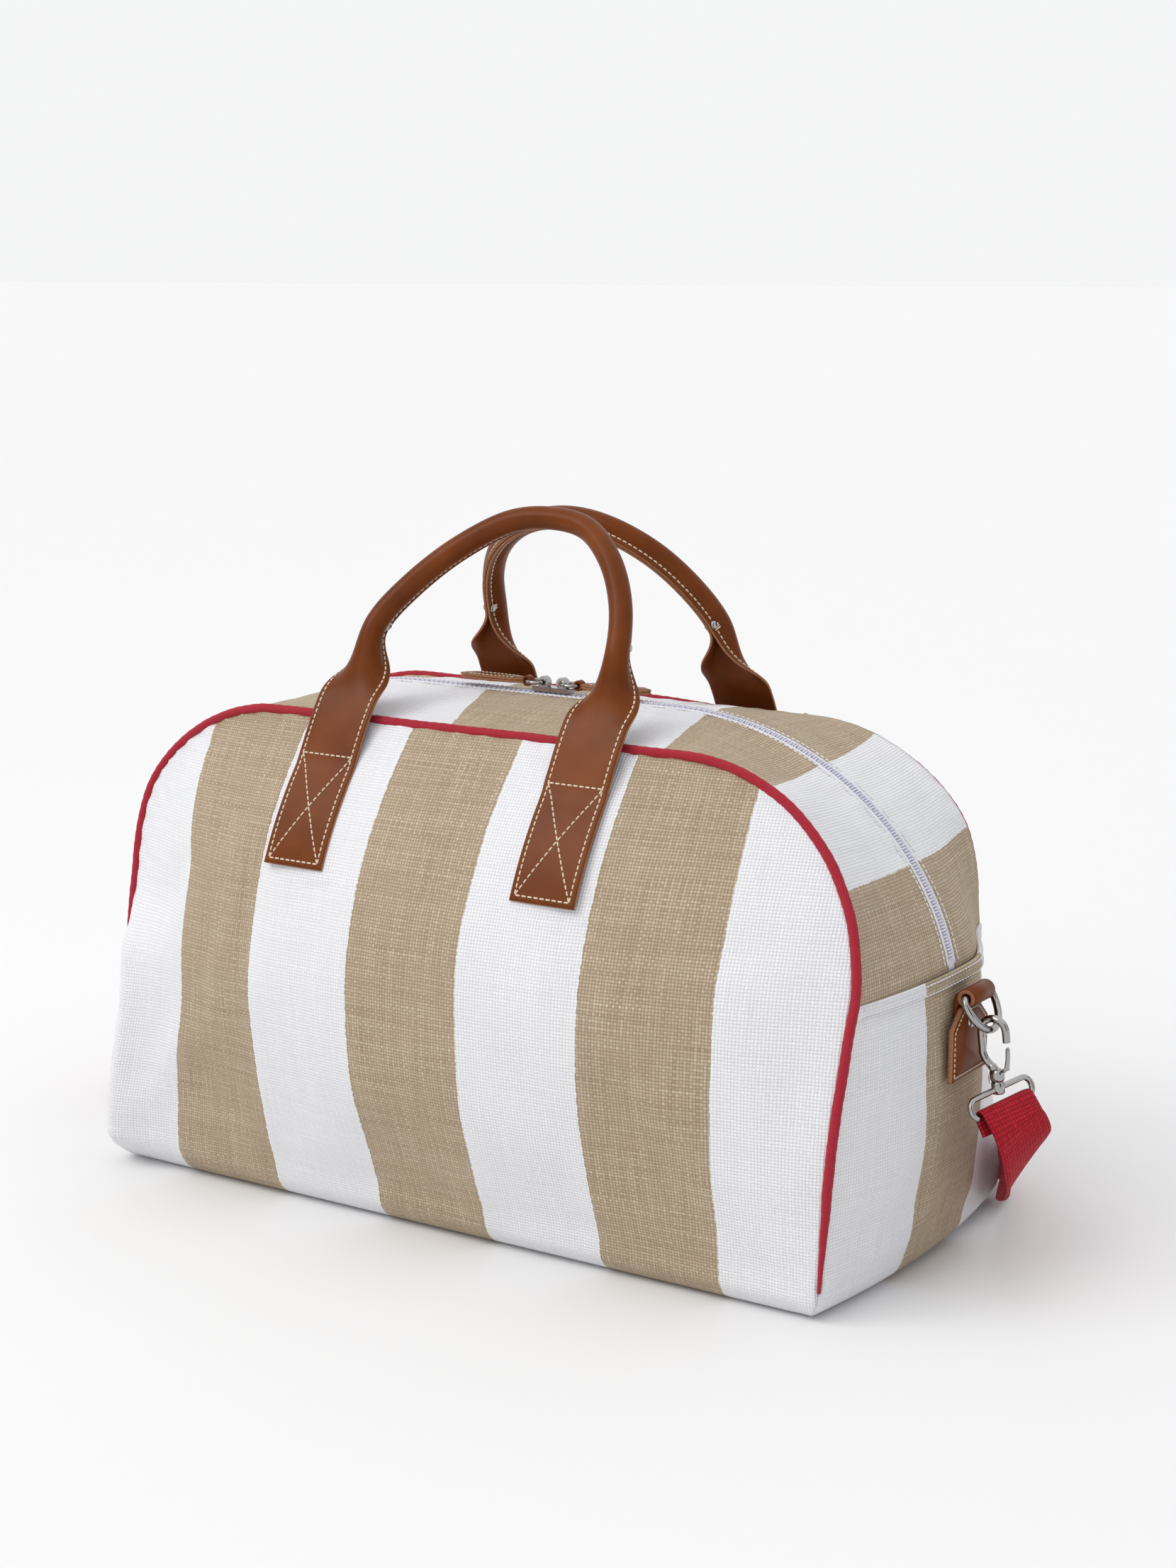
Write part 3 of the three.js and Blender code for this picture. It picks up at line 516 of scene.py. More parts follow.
def spline(points, count, closed=False):
    """Even points on a smooth curve through the given ones (centripetal Catmull-Rom)."""
    p = np.asarray(points, float)
    if closed:
        p = np.vstack([p[-1], p, p[0], p[1]])
    else:
        p = np.vstack([2 * p[0] - p[1], p, 2 * p[-1] - p[-2]])
    dense = []
    for k in range(1, len(p) - 2):
        a, b, c, d = p[k - 1:k + 3]
        knots = [0.0]
        for start, end in ((a, b), (b, c), (c, d)):
            knots.append(knots[-1] + max(np.linalg.norm(end - start), 1e-6) ** 0.5)
        t0, t1, t2, t3 = knots
        for t in np.linspace(t1, t2, 24, endpoint=False):
            a1 = (t1 - t) / (t1 - t0) * a + (t - t0) / (t1 - t0) * b
            a2 = (t2 - t) / (t2 - t1) * b + (t - t1) / (t2 - t1) * c
            a3 = (t3 - t) / (t3 - t2) * c + (t - t2) / (t3 - t2) * d
            b1 = (t2 - t) / (t2 - t0) * a1 + (t - t0) / (t2 - t0) * a2
            b2 = (t3 - t) / (t3 - t1) * a2 + (t - t1) / (t3 - t1) * a3
            dense.append((t2 - t) / (t2 - t1) * b1 + (t - t1) / (t2 - t1) * b2)
    dense.append(p[-2])
    return resample(np.array(dense), count, drop_last=closed)


def resample(path, count, drop_last=False):
    """The same line with evenly spaced points."""
    steps = np.linalg.norm(np.diff(path, axis=0), axis=1)
    along = np.concatenate([[0], np.cumsum(steps)])
    targets = np.linspace(0, along[-1], count + 1 if drop_last else count)
    even = np.stack([np.interp(targets, along, path[:, k]) for k in range(path.shape[1])], 1)
    return even[:-1] if drop_last else even


def tangents(path, looped=False):
    """Unit directions of travel."""
    if looped:
        t = np.roll(path, -1, 0) - np.roll(path, 1, 0)
    else:
        t = np.gradient(path, axis=0)
    return t / np.linalg.norm(t, axis=1)[:, None]


def round_wire(build, path, radius, side, sides=14, looped=False, slot=0, flat=1.0):
    """A wire along a path; flat under 1 squeezes its section along the side vector."""
    path = np.asarray(path, float)
    t = tangents(path, looped)
    points = []
    for k, p in enumerate(path):
        out = unit(np.cross(t[k], side))
        up = unit(np.cross(out, t[k]))
        r = radius(k / (len(path) - 1)) if callable(radius) else radius
        for a in round_angles(sides):
            points.append(p + out * r * math.cos(a) + up * r * flat * math.sin(a))
    build.add(points, tube_faces(len(path), sides, looped), slot)


def dome(build, centre, direction, radius, thick, sides=20):
    """A domed rivet head."""
    n = unit(direction)
    a = unit(np.cross(n, [0.3, 0.2, 1.0]))
    b = np.cross(a, n)
    profile = [(1.0, -0.2), (1.0, 0.25), (0.93, 0.55), (0.78, 0.8), (0.5, 0.95), (0.2, 1.0)]
    points = []
    for r, h in profile:
        for t in round_angles(sides):
            spot = np.asarray(centre) + n * h * thick
            points.append(spot + radius * r * (a * math.cos(t) + b * math.sin(t)))
    build.add(points, tube_faces(len(profile), sides))


def stitch(build, start, end, up, thick, slot):
    """One stitch: a short rounded thread that dives into the material at both ends."""
    start, end, up = (np.asarray(v, float) for v in (start, end, up))
    along = unit(end - start)
    side = unit(np.cross(along, up))
    rise = np.cross(side, along)
    profile = [(0.0, -0.35, 0.5), (0.14, 0.2, 0.95), (0.5, 0.38, 1.0), (0.86, 0.2, 0.95), (1.0, -0.35, 0.5)]
    sides = 6
    points = []
    for t, lift, r in profile:
        centre = start + (end - start) * t + rise * lift * thick
        for a in round_angles(sides):
            points.append(centre + thick * r * (side * math.cos(a) * 1.15 + rise * math.sin(a)))
    build.add(points, tube_faces(len(profile), sides), slot)


def stitch_line(build, path, normals, pitch=3.3, gap=0.9, thick=0.42, slot=0):
    """Stitches along a path of surface points with their normals."""
    path = np.asarray(path, float)
    steps = np.linalg.norm(np.diff(path, axis=0), axis=1)
    along = np.concatenate([[0], np.cumsum(steps)])
    count = max(1, int(along[-1] / pitch))
    real = along[-1] / count
    normals = np.asarray(normals, float)

    def pick(s, data):
        return np.array([np.interp(s, along, data[:, axis]) for axis in range(3)])

    for k in range(count):
        s0 = k * real + gap / 2
        s1 = (k + 1) * real - gap / 2
        normal = pick((s0 + s1) / 2, normals)
        stitch(build, pick(s0, path), pick(s1, path), normal, thick, slot)


def soft(x, y, z, scale):
    """Smooth noise in -1..1."""
    return noise.noise(Vector((x / scale, y / scale, z / scale)))


def smoothstep(t):
    t = min(1.0, max(0.0, t))
    return t * t * (3 - 2 * t)


# ---- The bag's shell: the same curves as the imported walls, finer and with soft folds ----
def tuck(z):
    """How far the foot of a wall has turned in under the bag."""
    return TUCK - math.sqrt(TUCK ** 2 - (TUCK - z) ** 2) if z < TUCK else 0.0


def half_length(z, shrink=0.0):
    """Half the length of the front's outline at a height."""
    if z <= SHOULDER_Z:
        return FOOT_HALF + (SHOULDER_HALF - FOOT_HALF) * z / SHOULDER_Z - shrink
    rise = min(1.0, (z - SHOULDER_Z) / (CORNER_B - shrink))
    return CORNER_X + (CORNER_A - shrink) * math.sqrt(1 - rise ** 2)


def half_depth(z):
    """Distance of the piped seams from the middle plane."""
    return FOOT_DEPTH - DEPTH_TAPER * smoothstep((z / HEIGHT - 0.25) / 0.85)


def swell(x, z):
    """How far the front pillows out past its seams; its fullest part is above the middle."""
    h = z / HEIGHT
    across = 1 - min(1.0, abs(x) / half_length(z)) ** 2.4
    return (39.2 + 45.6 * (h - 0.5)) * 4 * h * (1 - h) * across


def front_y(x, z):
    return -(half_depth(z) - tuck(z) + swell(x, z))


def settled(p):
    """The front left and back right shoulders have settled inwards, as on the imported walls."""
    x, y, z = p
    if x * y <= 0:
        return (x, y, z)
    height = smoothstep((z - 10) / 110) * (1 - 0.75 * smoothstep((z - SHOULDER_Z) / 80))
    corner = smoothstep((abs(x) - 90) / 140) * smoothstep((abs(y) - 20) / 75)
    return (x - math.copysign(SLUMP * height * corner, x), y, z)


def edge_distance(x, z):
    """Rough distance from a point of the front to its piped edge."""
    if z < SHOULDER_Z or abs(x) < CORNER_X:
        top = HEIGHT - z
        return min(half_length(z) - abs(x), top if abs(x) < CORNER_X else 999.0)
    reach = math.hypot((abs(x) - CORNER_X) / CORNER_A, (z - SHOULDER_Z) / CORNER_B)
    return max(0.0, (1 - reach) * CORNER_A)


def front_folds(x, z, seed):
    """How far the cloth stands out of its smooth shape: slack folds, drag lines and seam puckers."""
    edge = edge_distance(x, z)
    calm = smoothstep(edge / 26) * smoothstep(z / 30)
    height = 2.6 * soft(x, z * 1.5, seed, 95) + 1.3 * soft(x * 1.3 + 40, z * 0.7, seed + 9, 38)
    for foot in (-FOOT_X, FOOT_X):
        below = TAB_END_Z - z
        if below > -30:
            lean = (x - foot) - 0.22 * below * (1 if foot > 0 else -1)
            fade = smoothstep((below + 30) / 40) * math.exp(-max(0.0, below) / 95)
            reach = math.exp(-((lean / 46) ** 2)) * fade
            height += 1.5 * reach * math.cos(lean / 7.5 + 2.2 * soft(x, z, seed + 3, 60))
    sag = math.exp(-(((z - 46) / 17) ** 2))
    height += 1.7 * sag * soft(x, 0, seed + 5, 52) - 1.0 * math.exp(-(((z - 24) / 9) ** 2))
    slant = (abs(x) - 150) * 0.72 + (z - 190) * 0.69
    near_corner = math.exp(-(((abs(x) - 175) / 38) ** 2))
    height += 1.1 * math.cos(slant / 9 + soft(x, z, seed + 7, 45) * 2.5) * near_corner
    ripple = math.cos((x + 1.3 * z) / 3.1 + 4 * soft(x, z, seed, 24))
    pucker = 0.75 * math.exp(-edge / 11) * smoothstep(edge / 3) * ripple
    side = HEIGHT if x > 0 else (half_length(z) + x)
    full = 17 * (1 - math.exp(-side / 4.6)) * math.exp(-max(0.0, side - 14) / 26)
    full *= smoothstep((z - 2) / 20) * (1 - smoothstep((z - 128) / 42)) * (1.0 if seed < 10 else 0.4)
    under_tab = any(abs(x - foot) < STRAP_HALF + 6 for foot in (-FOOT_X, FOOT_X)) and z > TAB_END_Z - 6
    quiet = 0.15 if under_tab else 1.0
    return calm * height * quiet + pucker + full


def row_heights(rows, top):
    """Heights for the rows of a wall, closer together round the tuck and the top corner."""
    tuck_share, half_way = 0.12, 0.5
    heights = []
    for j in range(rows):
        v = j / (rows - 1)
        if v < tuck_share:
            heights.append(TUCK * (1 - math.cos(math.pi / 2 * v / tuck_share)))
        elif v < half_way:
            heights.append(TUCK + (SHOULDER_Z - TUCK) * (v - tuck_share) / 0.38)
        else:
            heights.append(SHOULDER_Z + (top - SHOULDER_Z) * math.sin(math.pi / 2 * (v - half_way) / 0.5))
    return heights


def shell(obj, thickness=CLOTH_THICK):
    """Gives a sheet its thickness on the inner side."""
    solid = obj.modifiers.new("thickness", "SOLIDIFY")
    solid.thickness = thickness * MM
    solid.offset = -1.0
    return obj


def even_shares(count):
    """Even steps from -1 to 1."""
    return [2 * i / (count - 1) - 1 for i in range(count)]


def turned(p, half_turn):
    """A point of the settled shell; the back and the left side are half a turn away."""
    return settled((-p[0], -p[1], p[2]) if half_turn else p)


def canvas_wall(name, rows, columns, points, cloth, stripe, thickness=CLOTH_THICK, flip=False):
    """A canvas piece from its grid of points, its threads and its place across the stripes."""
    maps = {"cloth": cloth, "stripe": stripe}
    return shell(make(name, points, grid_faces(rows, columns, flip), [CANVAS], maps), thickness)


def front_panel(name, back):
    """The striped front, or the same wall turned round for the back."""
    columns, rows = 210, 130
    points, cloth, stripe = [], [], []
    travelled = 0.0
    before = None
    for z in row_heights(rows, HEIGHT - SEAM):
        draw = SEAM * smoothstep(z / 16)
        middle = np.array([0.0, front_y(0.0, z), z])
        travelled += np.linalg.norm(middle - before) if before is not None else 0.0
        before = middle
        for share in even_shares(columns):
            x = share * (half_length(z, draw) - tuck(z))
            y = front_y(x, z) - front_folds(x, z, 31.0 if back else 3.0)
            points.append(turned((x, y, z), back))
            cloth.append((x, travelled))
            stripe.append((x + 0.7 * soft(x, z, 60, 55), 0.0))
    return canvas_wall(name, rows, columns, points, cloth, stripe)


def walk(flat_half, a, b, base_z, end_z):
    """Points by share of the way from the top's middle (0) to the hem (1 right, -1 left)."""
    last = math.acos(max(-1.0, min(1.0, (end_z - base_z) / b)))
    path = [(0.0, base_z + b)]
    for i in range(61):
        t = last * i / 60
        path.append((flat_half + a * math.sin(t), base_z + b * math.cos(t)))
    path = np.array(path)
    lengths = np.concatenate([[0], np.cumsum(np.linalg.norm(np.diff(path, axis=0), axis=1))])

    def at(share):
        target = abs(share) * lengths[-1]
        x = np.interp(target, lengths, path[:, 0])
        z = np.interp(target, lengths, path[:, 1])
        if abs(share) > 1:
            z = path[-1, 1] - (target - lengths[-1])
        return math.copysign(x, share), z

    return at, lengths[-1]


piping_at, _ = walk(CORNER_X, CORNER_A, CORNER_B - 1, SHOULDER_Z, SHOULDER_Z)
zipper_at, ZIPPER_LENGTH = walk(ZIP_FLAT, ZIP_A, ZIP_B, ZIP_TOP - ZIP_B, SHOULDER_Z)


GUSSET_REACH = 1.012  # share of the way at which the gusset and zipper end


def gusset_point(share, v):
    """v runs from the front piping (0) to the zipper (1)."""
    px, pz = piping_at(share)
    zx, zz = zipper_at(share)
    depth = half_depth(pz)
    y = -depth + SEAM + (depth - SEAM - ZIP_HALF + 0.9) * v
    w = 1 + y / depth
    rise = w * (2 - w)
    return np.array([px + (zx - px) * rise, y, pz + (zz - pz) * rise])


def gusset_normal(share, v):
    """The outward direction of the top gusset."""
    a = gusset_point(share + 0.004, v) - gusset_point(share - 0.004, v)
    b = gusset_point(share, min(1.0, v + 0.02)) - gusset_point(share, max(0.0, v - 0.02))
    return unit(np.cross(a, b))


def gusset_folds(share, v, seed):
    """How far the gusset stands out of its smooth shape, with puckers along both seams."""
    x = share * ZIPPER_LENGTH
    calm = smoothstep(v / 0.25) * smoothstep((1 - v) / 0.3) * smoothstep((1.0 - abs(share)) / 0.08)
    height = 2.0 * soft(x, v * 60, seed, 60) + 0.9 * soft(x, v * 90, seed + 5, 24) - 1.2
    pucker = 0.55 * math.exp(-(1 - v) * 9) * math.cos(x / 3.4 + 3 * soft(x, 0, seed, 30))
    seam = 0.5 * math.exp(-v * 12) * smoothstep(v / 0.04) * math.cos(x / 3.0 + 3 * soft(x, 5, seed, 30))
    return calm * height + pucker * smoothstep((1 - v) / 0.05) + seam


def gusset(name, back):
    """Half of the top gusset, from one piping to the zipper; its ends reach under the side hems."""
    columns, rows = 300, 30
    seed = 80.0 if back else 50.0
    points, cloth, stripe = [], [], []
    for j in range(rows):
        v = j / (rows - 1)
        for share in even_shares(columns):
            share *= GUSSET_REACH
            p = gusset_point(share, v) + gusset_normal(share, v) * gusset_folds(share, v, seed)
            points.append(turned(p, back))
            skew = 0.3 * STRIPE * (1 - v) * math.exp(-((share / 0.5) ** 2))
            cloth.append((share * ZIPPER_LENGTH, v * 75))
            stripe.append(((share * ZIPPER_LENGTH - skew) * (-1 if back else 1), 0.0))
    return canvas_wall(name, rows, columns, points, cloth, stripe, 1.8)


HEM = 8.0  # depth of the stitched hem on a side panel
HEM_RISE = 1.3


def side_point(y_share, z):
    """A point of the right-hand side panel; y_share runs from -1 to 1 across it."""
    reach = half_depth(z) - tuck(z) - SEAM * smoothstep(z / 16)
    y = y_share * reach
    bulge = SIDE_BULGE * (1 - ((z - BULGE_Z) / BULGE_HALF) ** 2) * (1 - (y / (reach + SEAM)) ** 2)
    return np.array([half_length(z) - tuck(z) + bulge, y, z])


def side_folds(y, z, seed):
    """How far a side panel stands out of its smooth shape; it lies flat behind the leather tab."""
    edge = half_depth(z) - abs(y)
    calm = smoothstep(edge / 24) * smoothstep(z / 26) * smoothstep((SHOULDER_Z - HEM - z) / 20)
    quiet = 0.1 if abs(y) < 28 and z > 100 else 1.0
    height = 2.6 * soft(y, z, seed, 62) + 1.0 * soft(y * 1.6, z * 0.8, seed + 4, 26)
    drag = math.cos((abs(y) * 0.6 + z * 0.8) / 8 + 2 * soft(y, z, seed, 40))
    height += 1.0 * drag * math.exp(-((z - 40) / 34) ** 2)
    pucker = 0.6 * math.exp(-edge / 9) * math.cos(z / 3.0 + 3 * soft(y, z, seed, 25))
    return calm * height * quiet + pucker * smoothstep(z / 20)


def side_panel(name, left):
    """A short side with its hem, whose turned edge stands a little proud."""
    columns = 96
    points, cloth, stripe = [], [], []
    heights = [TUCK * (1 - math.cos(math.pi / 2 * j / 12)) for j in range(12)]
    heights += [TUCK + (SHOULDER_Z - HEM - TUCK) * j / 62 for j in range(63)]
    heights += [SHOULDER_Z - HEM + HEM * j / 8 for j in range(1, 9)]
    for z in heights:
        into_hem = smoothstep((z - SHOULDER_Z + HEM) / 1.2)
        rounded = HEM_RISE * (1 - smoothstep((z - SHOULDER_Z + 1.6) / 1.6) * 0.5)
        for share in even_shares(columns):
            p = side_point(share, z)
            p[0] += side_folds(p[1], z, 11.0 if left else 21.0) + rounded * into_hem
            points.append(turned(p, left))
            cloth.append((p[1] + 300, z))
            stripe.append((p[1], 0.0))
    return canvas_wall(name, len(heights), columns, points, cloth, stripe)


def bottom_sheet():
    """The panel that the bag stands on."""
    columns, rows = 60, 24
    half_x, half_y = FOOT_HALF - TUCK, FOOT_DEPTH - TUCK
    points, cloth = [], []
    for depth_share in even_shares(rows):
        y = depth_share * half_y
        bulge = SIDE_BULGE * (1 - (BULGE_Z / BULGE_HALF) ** 2) * (1 - (y / half_y) ** 2)
        for share in even_shares(columns):
            x = share * (half_x + bulge)
            points.append((x, y, 0.15))
            cloth.append((x, y))
    return canvas_wall("bottom_cloth", rows, columns, points, cloth, cloth, flip=True)


def place(obj, body, slot_name, *nodes):
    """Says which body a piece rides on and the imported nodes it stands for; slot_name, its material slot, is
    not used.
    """
    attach(obj, body)
    if nodes:
        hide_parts(*nodes)
    return obj


place(front_panel("front_cloth", False), "bag_body", "canvas", "front_panel")
place(front_panel("back_cloth", True), "bag_body", "canvas", "back_panel")
place(gusset("gusset_cloth_front", False), "bag_body", "canvas", "gusset_front")
place(gusset("gusset_cloth_back", True), "bag_body", "canvas", "gusset_back")
place(side_panel("side_cloth_right", False), "bag_body", "canvas", "side_panel_right")
place(side_panel("side_cloth_left", True), "bag_body", "canvas", "side_panel_left")
place(bottom_sheet(), "bag_body", "canvas", "bottom_panel")


def repaint(node, material, bevel=0.0):
    """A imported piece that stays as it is, with its real finish and softened edges."""
    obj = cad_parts[node]
    obj.data.materials.clear()
    obj.data.materials.append(material)
    if bevel:
        soften = obj.modifiers.new("soft_edges", "BEVEL")
        soften.width = bevel * MM
        soften.segments = 2
        soften.limit_method = "ANGLE"
        soften.angle_limit = 0.5
    return obj


def lining(name, back):
    """A thin lining hangs just inside the front and the back."""
    columns, rows = 60, 40
    points = []
    for j in range(rows):
        z = 10 + (HEIGHT - 24) * j / (rows - 1)
        for share in even_shares(columns):
            x = share * (half_length(z, 10) - 6)
            y = front_y(x, z) + 7.5 + 1.2 * soft(x, z, 70, 40)
            points.append(turned((x, y, z), back))
    return shell(make(name, points, grid_faces(rows, columns), [LINING]), 0.8)


place(lining("lining_cloth_front", False), "bag_body", "lining", "lining_front")
place(lining("lining_cloth_back", True), "bag_body", "lining", "lining_back")
repaint("bottom_board", BOARD)


# ---- Piping ----
def rolled_over(p):
    """The right half of the back seam has rolled over onto the back face."""
    share = smoothstep((p[0] - ROLL_START) / 80)
    out = unit((max(0.0, p[0] - CORNER_X), 0, max(0.0, p[2] - SHOULDER_Z)))
    return p - out * ROLL_IN * share + np.array([0, ROLL_BACK * share, 0])


def piping(name, back):
    """Covered cord along a panel's edge, from the tuck at one end over the top to the other."""
    path = [(-half_length(z), -half_depth(z), z) for z in np.arange(TUCK + 1, SHOULDER_Z, 5.0)]
    for i in range(-60, 61):
        x, z = piping_at(i / 60)
        path.append((x, -half_depth(z), z))
    path += [(half_length(z), -half_depth(z), z) for z in np.arange(SHOULDER_Z - 1.0, TUCK, -5.0)]
    path = resample(np.array(path), 420)
    for k, p in enumerate(path):
        out = unit((p[0], 0, max(0.0, p[2] - SHOULDER_Z)))
        path[k] = p + out * 0.35 * soft(p[0], p[2], 5, 14) + np.array([0, 0.3 * soft(p[0], p[2], 9, 18), 0])
    if back:
        path[:, :2] *= -1
    path = np.array([settled(p) for p in path])
    if back:
        path = np.array([rolled_over(p) for p in path])
    body = Build()

    def taper(t):
        return PIPING_R * min(1.0, 0.35 + 12 * min(t, 1 - t)) * (1 + 0.04 * math.sin(t * 900))

    round_wire(body, path, taper, np.array([0, 1, 0]), 12)
    return body.done(name, [PIPING])


place(piping("piping_cord_front", False), "bag_body", "piping", "piping_front")
place(piping("piping_cord_back", True), "bag_body", "piping", "piping_back")


# ---- Rolled leather handles with their sewn feet ----
LEATHER_THICK = 2.3
HANDLE_ARCHES = {
    "front": [(-81.5, -91.2, 259), (-80.5, -81, 279), (-78.5, -66, 303), (-75, -53, 326), (-62, -43, 344),
              (-37, -31, 366), (-8, -20, 382), (16, -17, 385), (42, -20, 381), (64, -31, 366), (78, -43, 346),
              (84, -54, 326), (84, -66, 303), (82.5, -81, 279), (81.5, -91.2, 259)],
    "back": [(-81.5, 91.2, 259), (-80, 81, 279), (-76.5, 66, 303), (-72, 54, 324), (-66, 43, 344),
             (-52, 31, 362), (-29, 21, 376), (2, 16.5, 382), (28, 18, 378), (52, 29, 364), (70, 42, 344),
             (80, 54, 324), (81.5, 66, 303), (82, 81, 279), (81.5, 91.2, 259)],
}
ROLL_R = 5.2  # radius of the roll, to the middle of the leather
ROLL_ARC = 2.443  # how far round the roll goes before the flaps turn in
ROLL_RISE = 7.6  # how far the roll's top stands above the strap's path
STITCH_INSET = 3.0
RIVET_AT = 78.0  # from the foot along the strap to the rivets
STUD_ACROSS = 16.6


def rolled_angle(s):
    """How far the fully rolled strap has turned at a distance from its middle line."""
    arc = ROLL_R * ROLL_ARC
    if s < arc:
        return s / ROLL_R
    back = min(1.0, max(0.0, (s - arc - 2.0) / 2.0))
    return ROLL_ARC + (math.pi / 2 - ROLL_ARC) * back


def strap_section(fold, half=STRAP_HALF, steps=28):
    """Middle line of the strap's section: distances, positions and outward normals of one half."""
    distance = np.linspace(0, half, steps)
    step = distance[1]
    angle = np.array([fold * rolled_angle(s) for s in distance])
    a = np.concatenate([[0], np.cumsum(np.cos((angle[1:] + angle[:-1]) / 2) * step)])
    b = np.concatenate([[0], -np.cumsum(np.sin((angle[1:] + angle[:-1]) / 2) * step)])
    return distance, a, b, angle


class Handle:
    """One strip of leather from foot to foot, flat at both ends and rolled in between."""

    def __init__(self, name, side):
        self.side = side
        tab = [(self.wall(-FOOT_X, z)) for z in (TAB_END_Z, 214.0, 228.0, 241.0, 251.0)]
        other = [(self.wall(FOOT_X, z)) for z in (251.0, 241.0, 228.0, 214.0, TAB_END_Z)]
        self.path = spline(tab + HANDLE_ARCHES[name] + other, 300)
        self.along = tangents(self.path)
        steps = np.linalg.norm(np.diff(self.path, axis=0), axis=1)
        self.length = np.concatenate([[0], np.cumsum(steps)])
        self.total = self.length[-1]
        self.foot = float(np.interp(FOOT_TOP_Z, self.path[:60, 2], self.length[:60]))

    def wall(self, x, z):
        """A point in the middle of the leather where it lies on the bag."""
        return (x, self.side * (-front_y(x, z) + LEATHER_THICK / 2 + 0.9), z)

    def ring(self, k):
        """Centre, width direction, top direction and fold of the strap at a station."""
        p, t = self.path[k], self.along[k]
        to_end = min(self.length[k], self.total - self.length[k])
        free = to_end - self.foot
        x = math.copysign(FOOT_X, p[0])
        slope = (front_y(x, min(p[2], 262) + 1) - front_y(x, min(p[2], 262) - 1)) / 2
        flat = unit((0, self.side, slope))
        arch = unit((0, self.side * math.cos(math.pi / 6), math.sin(math.pi / 6)))
        face = unit(flat + (arch - flat) * smoothstep(free / 34))
        face = unit(face - t * face.dot(t))
        fold = smoothstep((free - 30) / 46)
        return p, np.cross(t, face), face, fold

    def surface(self, length, s, lift=0.0):
        """A point on the outer face at a length along the strap and a distance across it."""
        k = int(np.clip(np.searchsorted(self.length, length), 1, len(self.length) - 1))
        f = (length - self.length[k - 1]) / (self.length[k] - self.length[k - 1])
        spots = []
        for index in (k - 1, k):
            p, width, top, fold = self.ring(index)
            distance, a, b, angle = strap_section(fold)
            turn = np.interp(abs(s), distance, angle)
            out = np.array([math.sin(turn), math.cos(turn)]) * (LEATHER_THICK / 2 + lift)
            across = math.copysign(np.interp(abs(s), distance, a) + out[0], s)
            rise = np.interp(abs(s), distance, b) + out[1] + ROLL_RISE * fold
            normal = math.copysign(out[0], s) * width + out[1] * top
            spots.append((p + width * across + top * rise, unit(normal)))
        point = spots[0][0] * (1 - f) + spots[1][0] * f
        return point, unit(spots[0][1] * (1 - f) + spots[1][1] * f)

    def nearest(self, point):
        """The length along the strap that lies nearest to a point."""
        return float(self.length[np.argmin(np.linalg.norm(self.path - point, axis=1))])

    def mesh(self, name):
        body = Build()
        points = []
        for k in range(len(self.path)):
            p, width, top, fold = self.ring(k)
            distance, a, b, angle = strap_section(fold)
            half = LEATHER_THICK / 2
            outer, inner = [], []
            for s, x, y, turn in zip(distance, a, b, angle):
                worn = half * (1 - 0.35 * smoothstep((s - STRAP_HALF + 1.0) / 1.0))
                outer.append((x + math.sin(turn) * worn, y + math.cos(turn) * worn))
                inner.append((x - math.sin(turn) * worn, y - math.cos(turn) * worn))
            section = [(x, y) for x, y in reversed(outer)] + [(-x, y) for x, y in outer[1:]]
            section += [(-x, y) for x, y in reversed(inner)] + [(x, y) for x, y in inner[1:]]
            for x, y in section:
                points.append(p + width * x + top * (y + ROLL_RISE * fold))
        sides = len(section)
        faces = tube_faces(len(self.path), sides)
        raw_edges = {len(outer) * 2 - 2, sides - 1}
        body.add(points, faces)
        body.slots = [1 if (k % sides) in raw_edges else 0 for k in range(len(faces) - 2)] + [1, 1]
        return body.done(name, [LEATHER, LEATHER_EDGE])

    def row(self, body, start, end, s_start, s_end=None, count=None):
        """A row of stitches between two places on the strap."""
        s_end = s_start if s_end is None else s_end
        count = count or max(2, int(abs(end - start) / 3.0))
        spots = []
        for i in range(count + 1):
            length = start + (end - start) * i / count
            spots.append(self.surface(length, s_start + (s_end - s_start) * i / count, 0.05))
        stitch_line(body, [p for p, _ in spots], [n for _, n in spots], pitch=3.4)

    def stitching(self, name):
        """A crossed box on each foot, a row along both edges and a few turns at each neck."""
        body = Build()
        inner = STRAP_HALF - STITCH_INSET
        box_top = self.foot - 3
        for start, sign in ((0, 1), (self.total, -1)):
            low = start + sign * STITCH_INSET
            high = start + sign * box_top
            self.row(body, low, low, -inner, inner, 12)
            self.row(body, high, high, -inner, inner, 12)
            self.row(body, low, high, -inner, inner)
            self.row(body, low, high, inner, -inner)
        for s in (-inner, inner):
            self.row(body, STITCH_INSET, self.total - STITCH_INSET, s, count=220)
        for neck in (self.foot + RIVET_AT, self.total - self.foot - RIVET_AT):
            for spot in (0.0, 1.2, 2.4):
                self.row(body, neck + spot, neck + spot, 12.5, 18.8, 3)
                self.row(body, neck + spot, neck + spot, -12.5, -18.8, 3)
        return body.done(name, [THREAD_CREAM])


def handle_rivets(handle, label):
    """Domed studs through the sewn flaps, one pair at each neck."""
    for end in ("left", "right"):
        for where in ("outer", "inner"):
            packed = f"handle_{label}_rivet_{end}_{where}"
            low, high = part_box(packed)
            middle = np.array((low + high) / 2) / MM
            length = handle.nearest(middle)
            spots = [handle.surface(length, sign * STUD_ACROSS) for sign in (1, -1)]
            point, normal = min(spots, key=lambda spot: np.linalg.norm(spot[0] - middle))
            body = Build()
            dome(body, point, normal, 2.7, 1.5)
            piece = body.done(packed.replace("rivet", "stud"), [NICKEL])
            place(piece, f"{label}_handle", "nickel", packed)


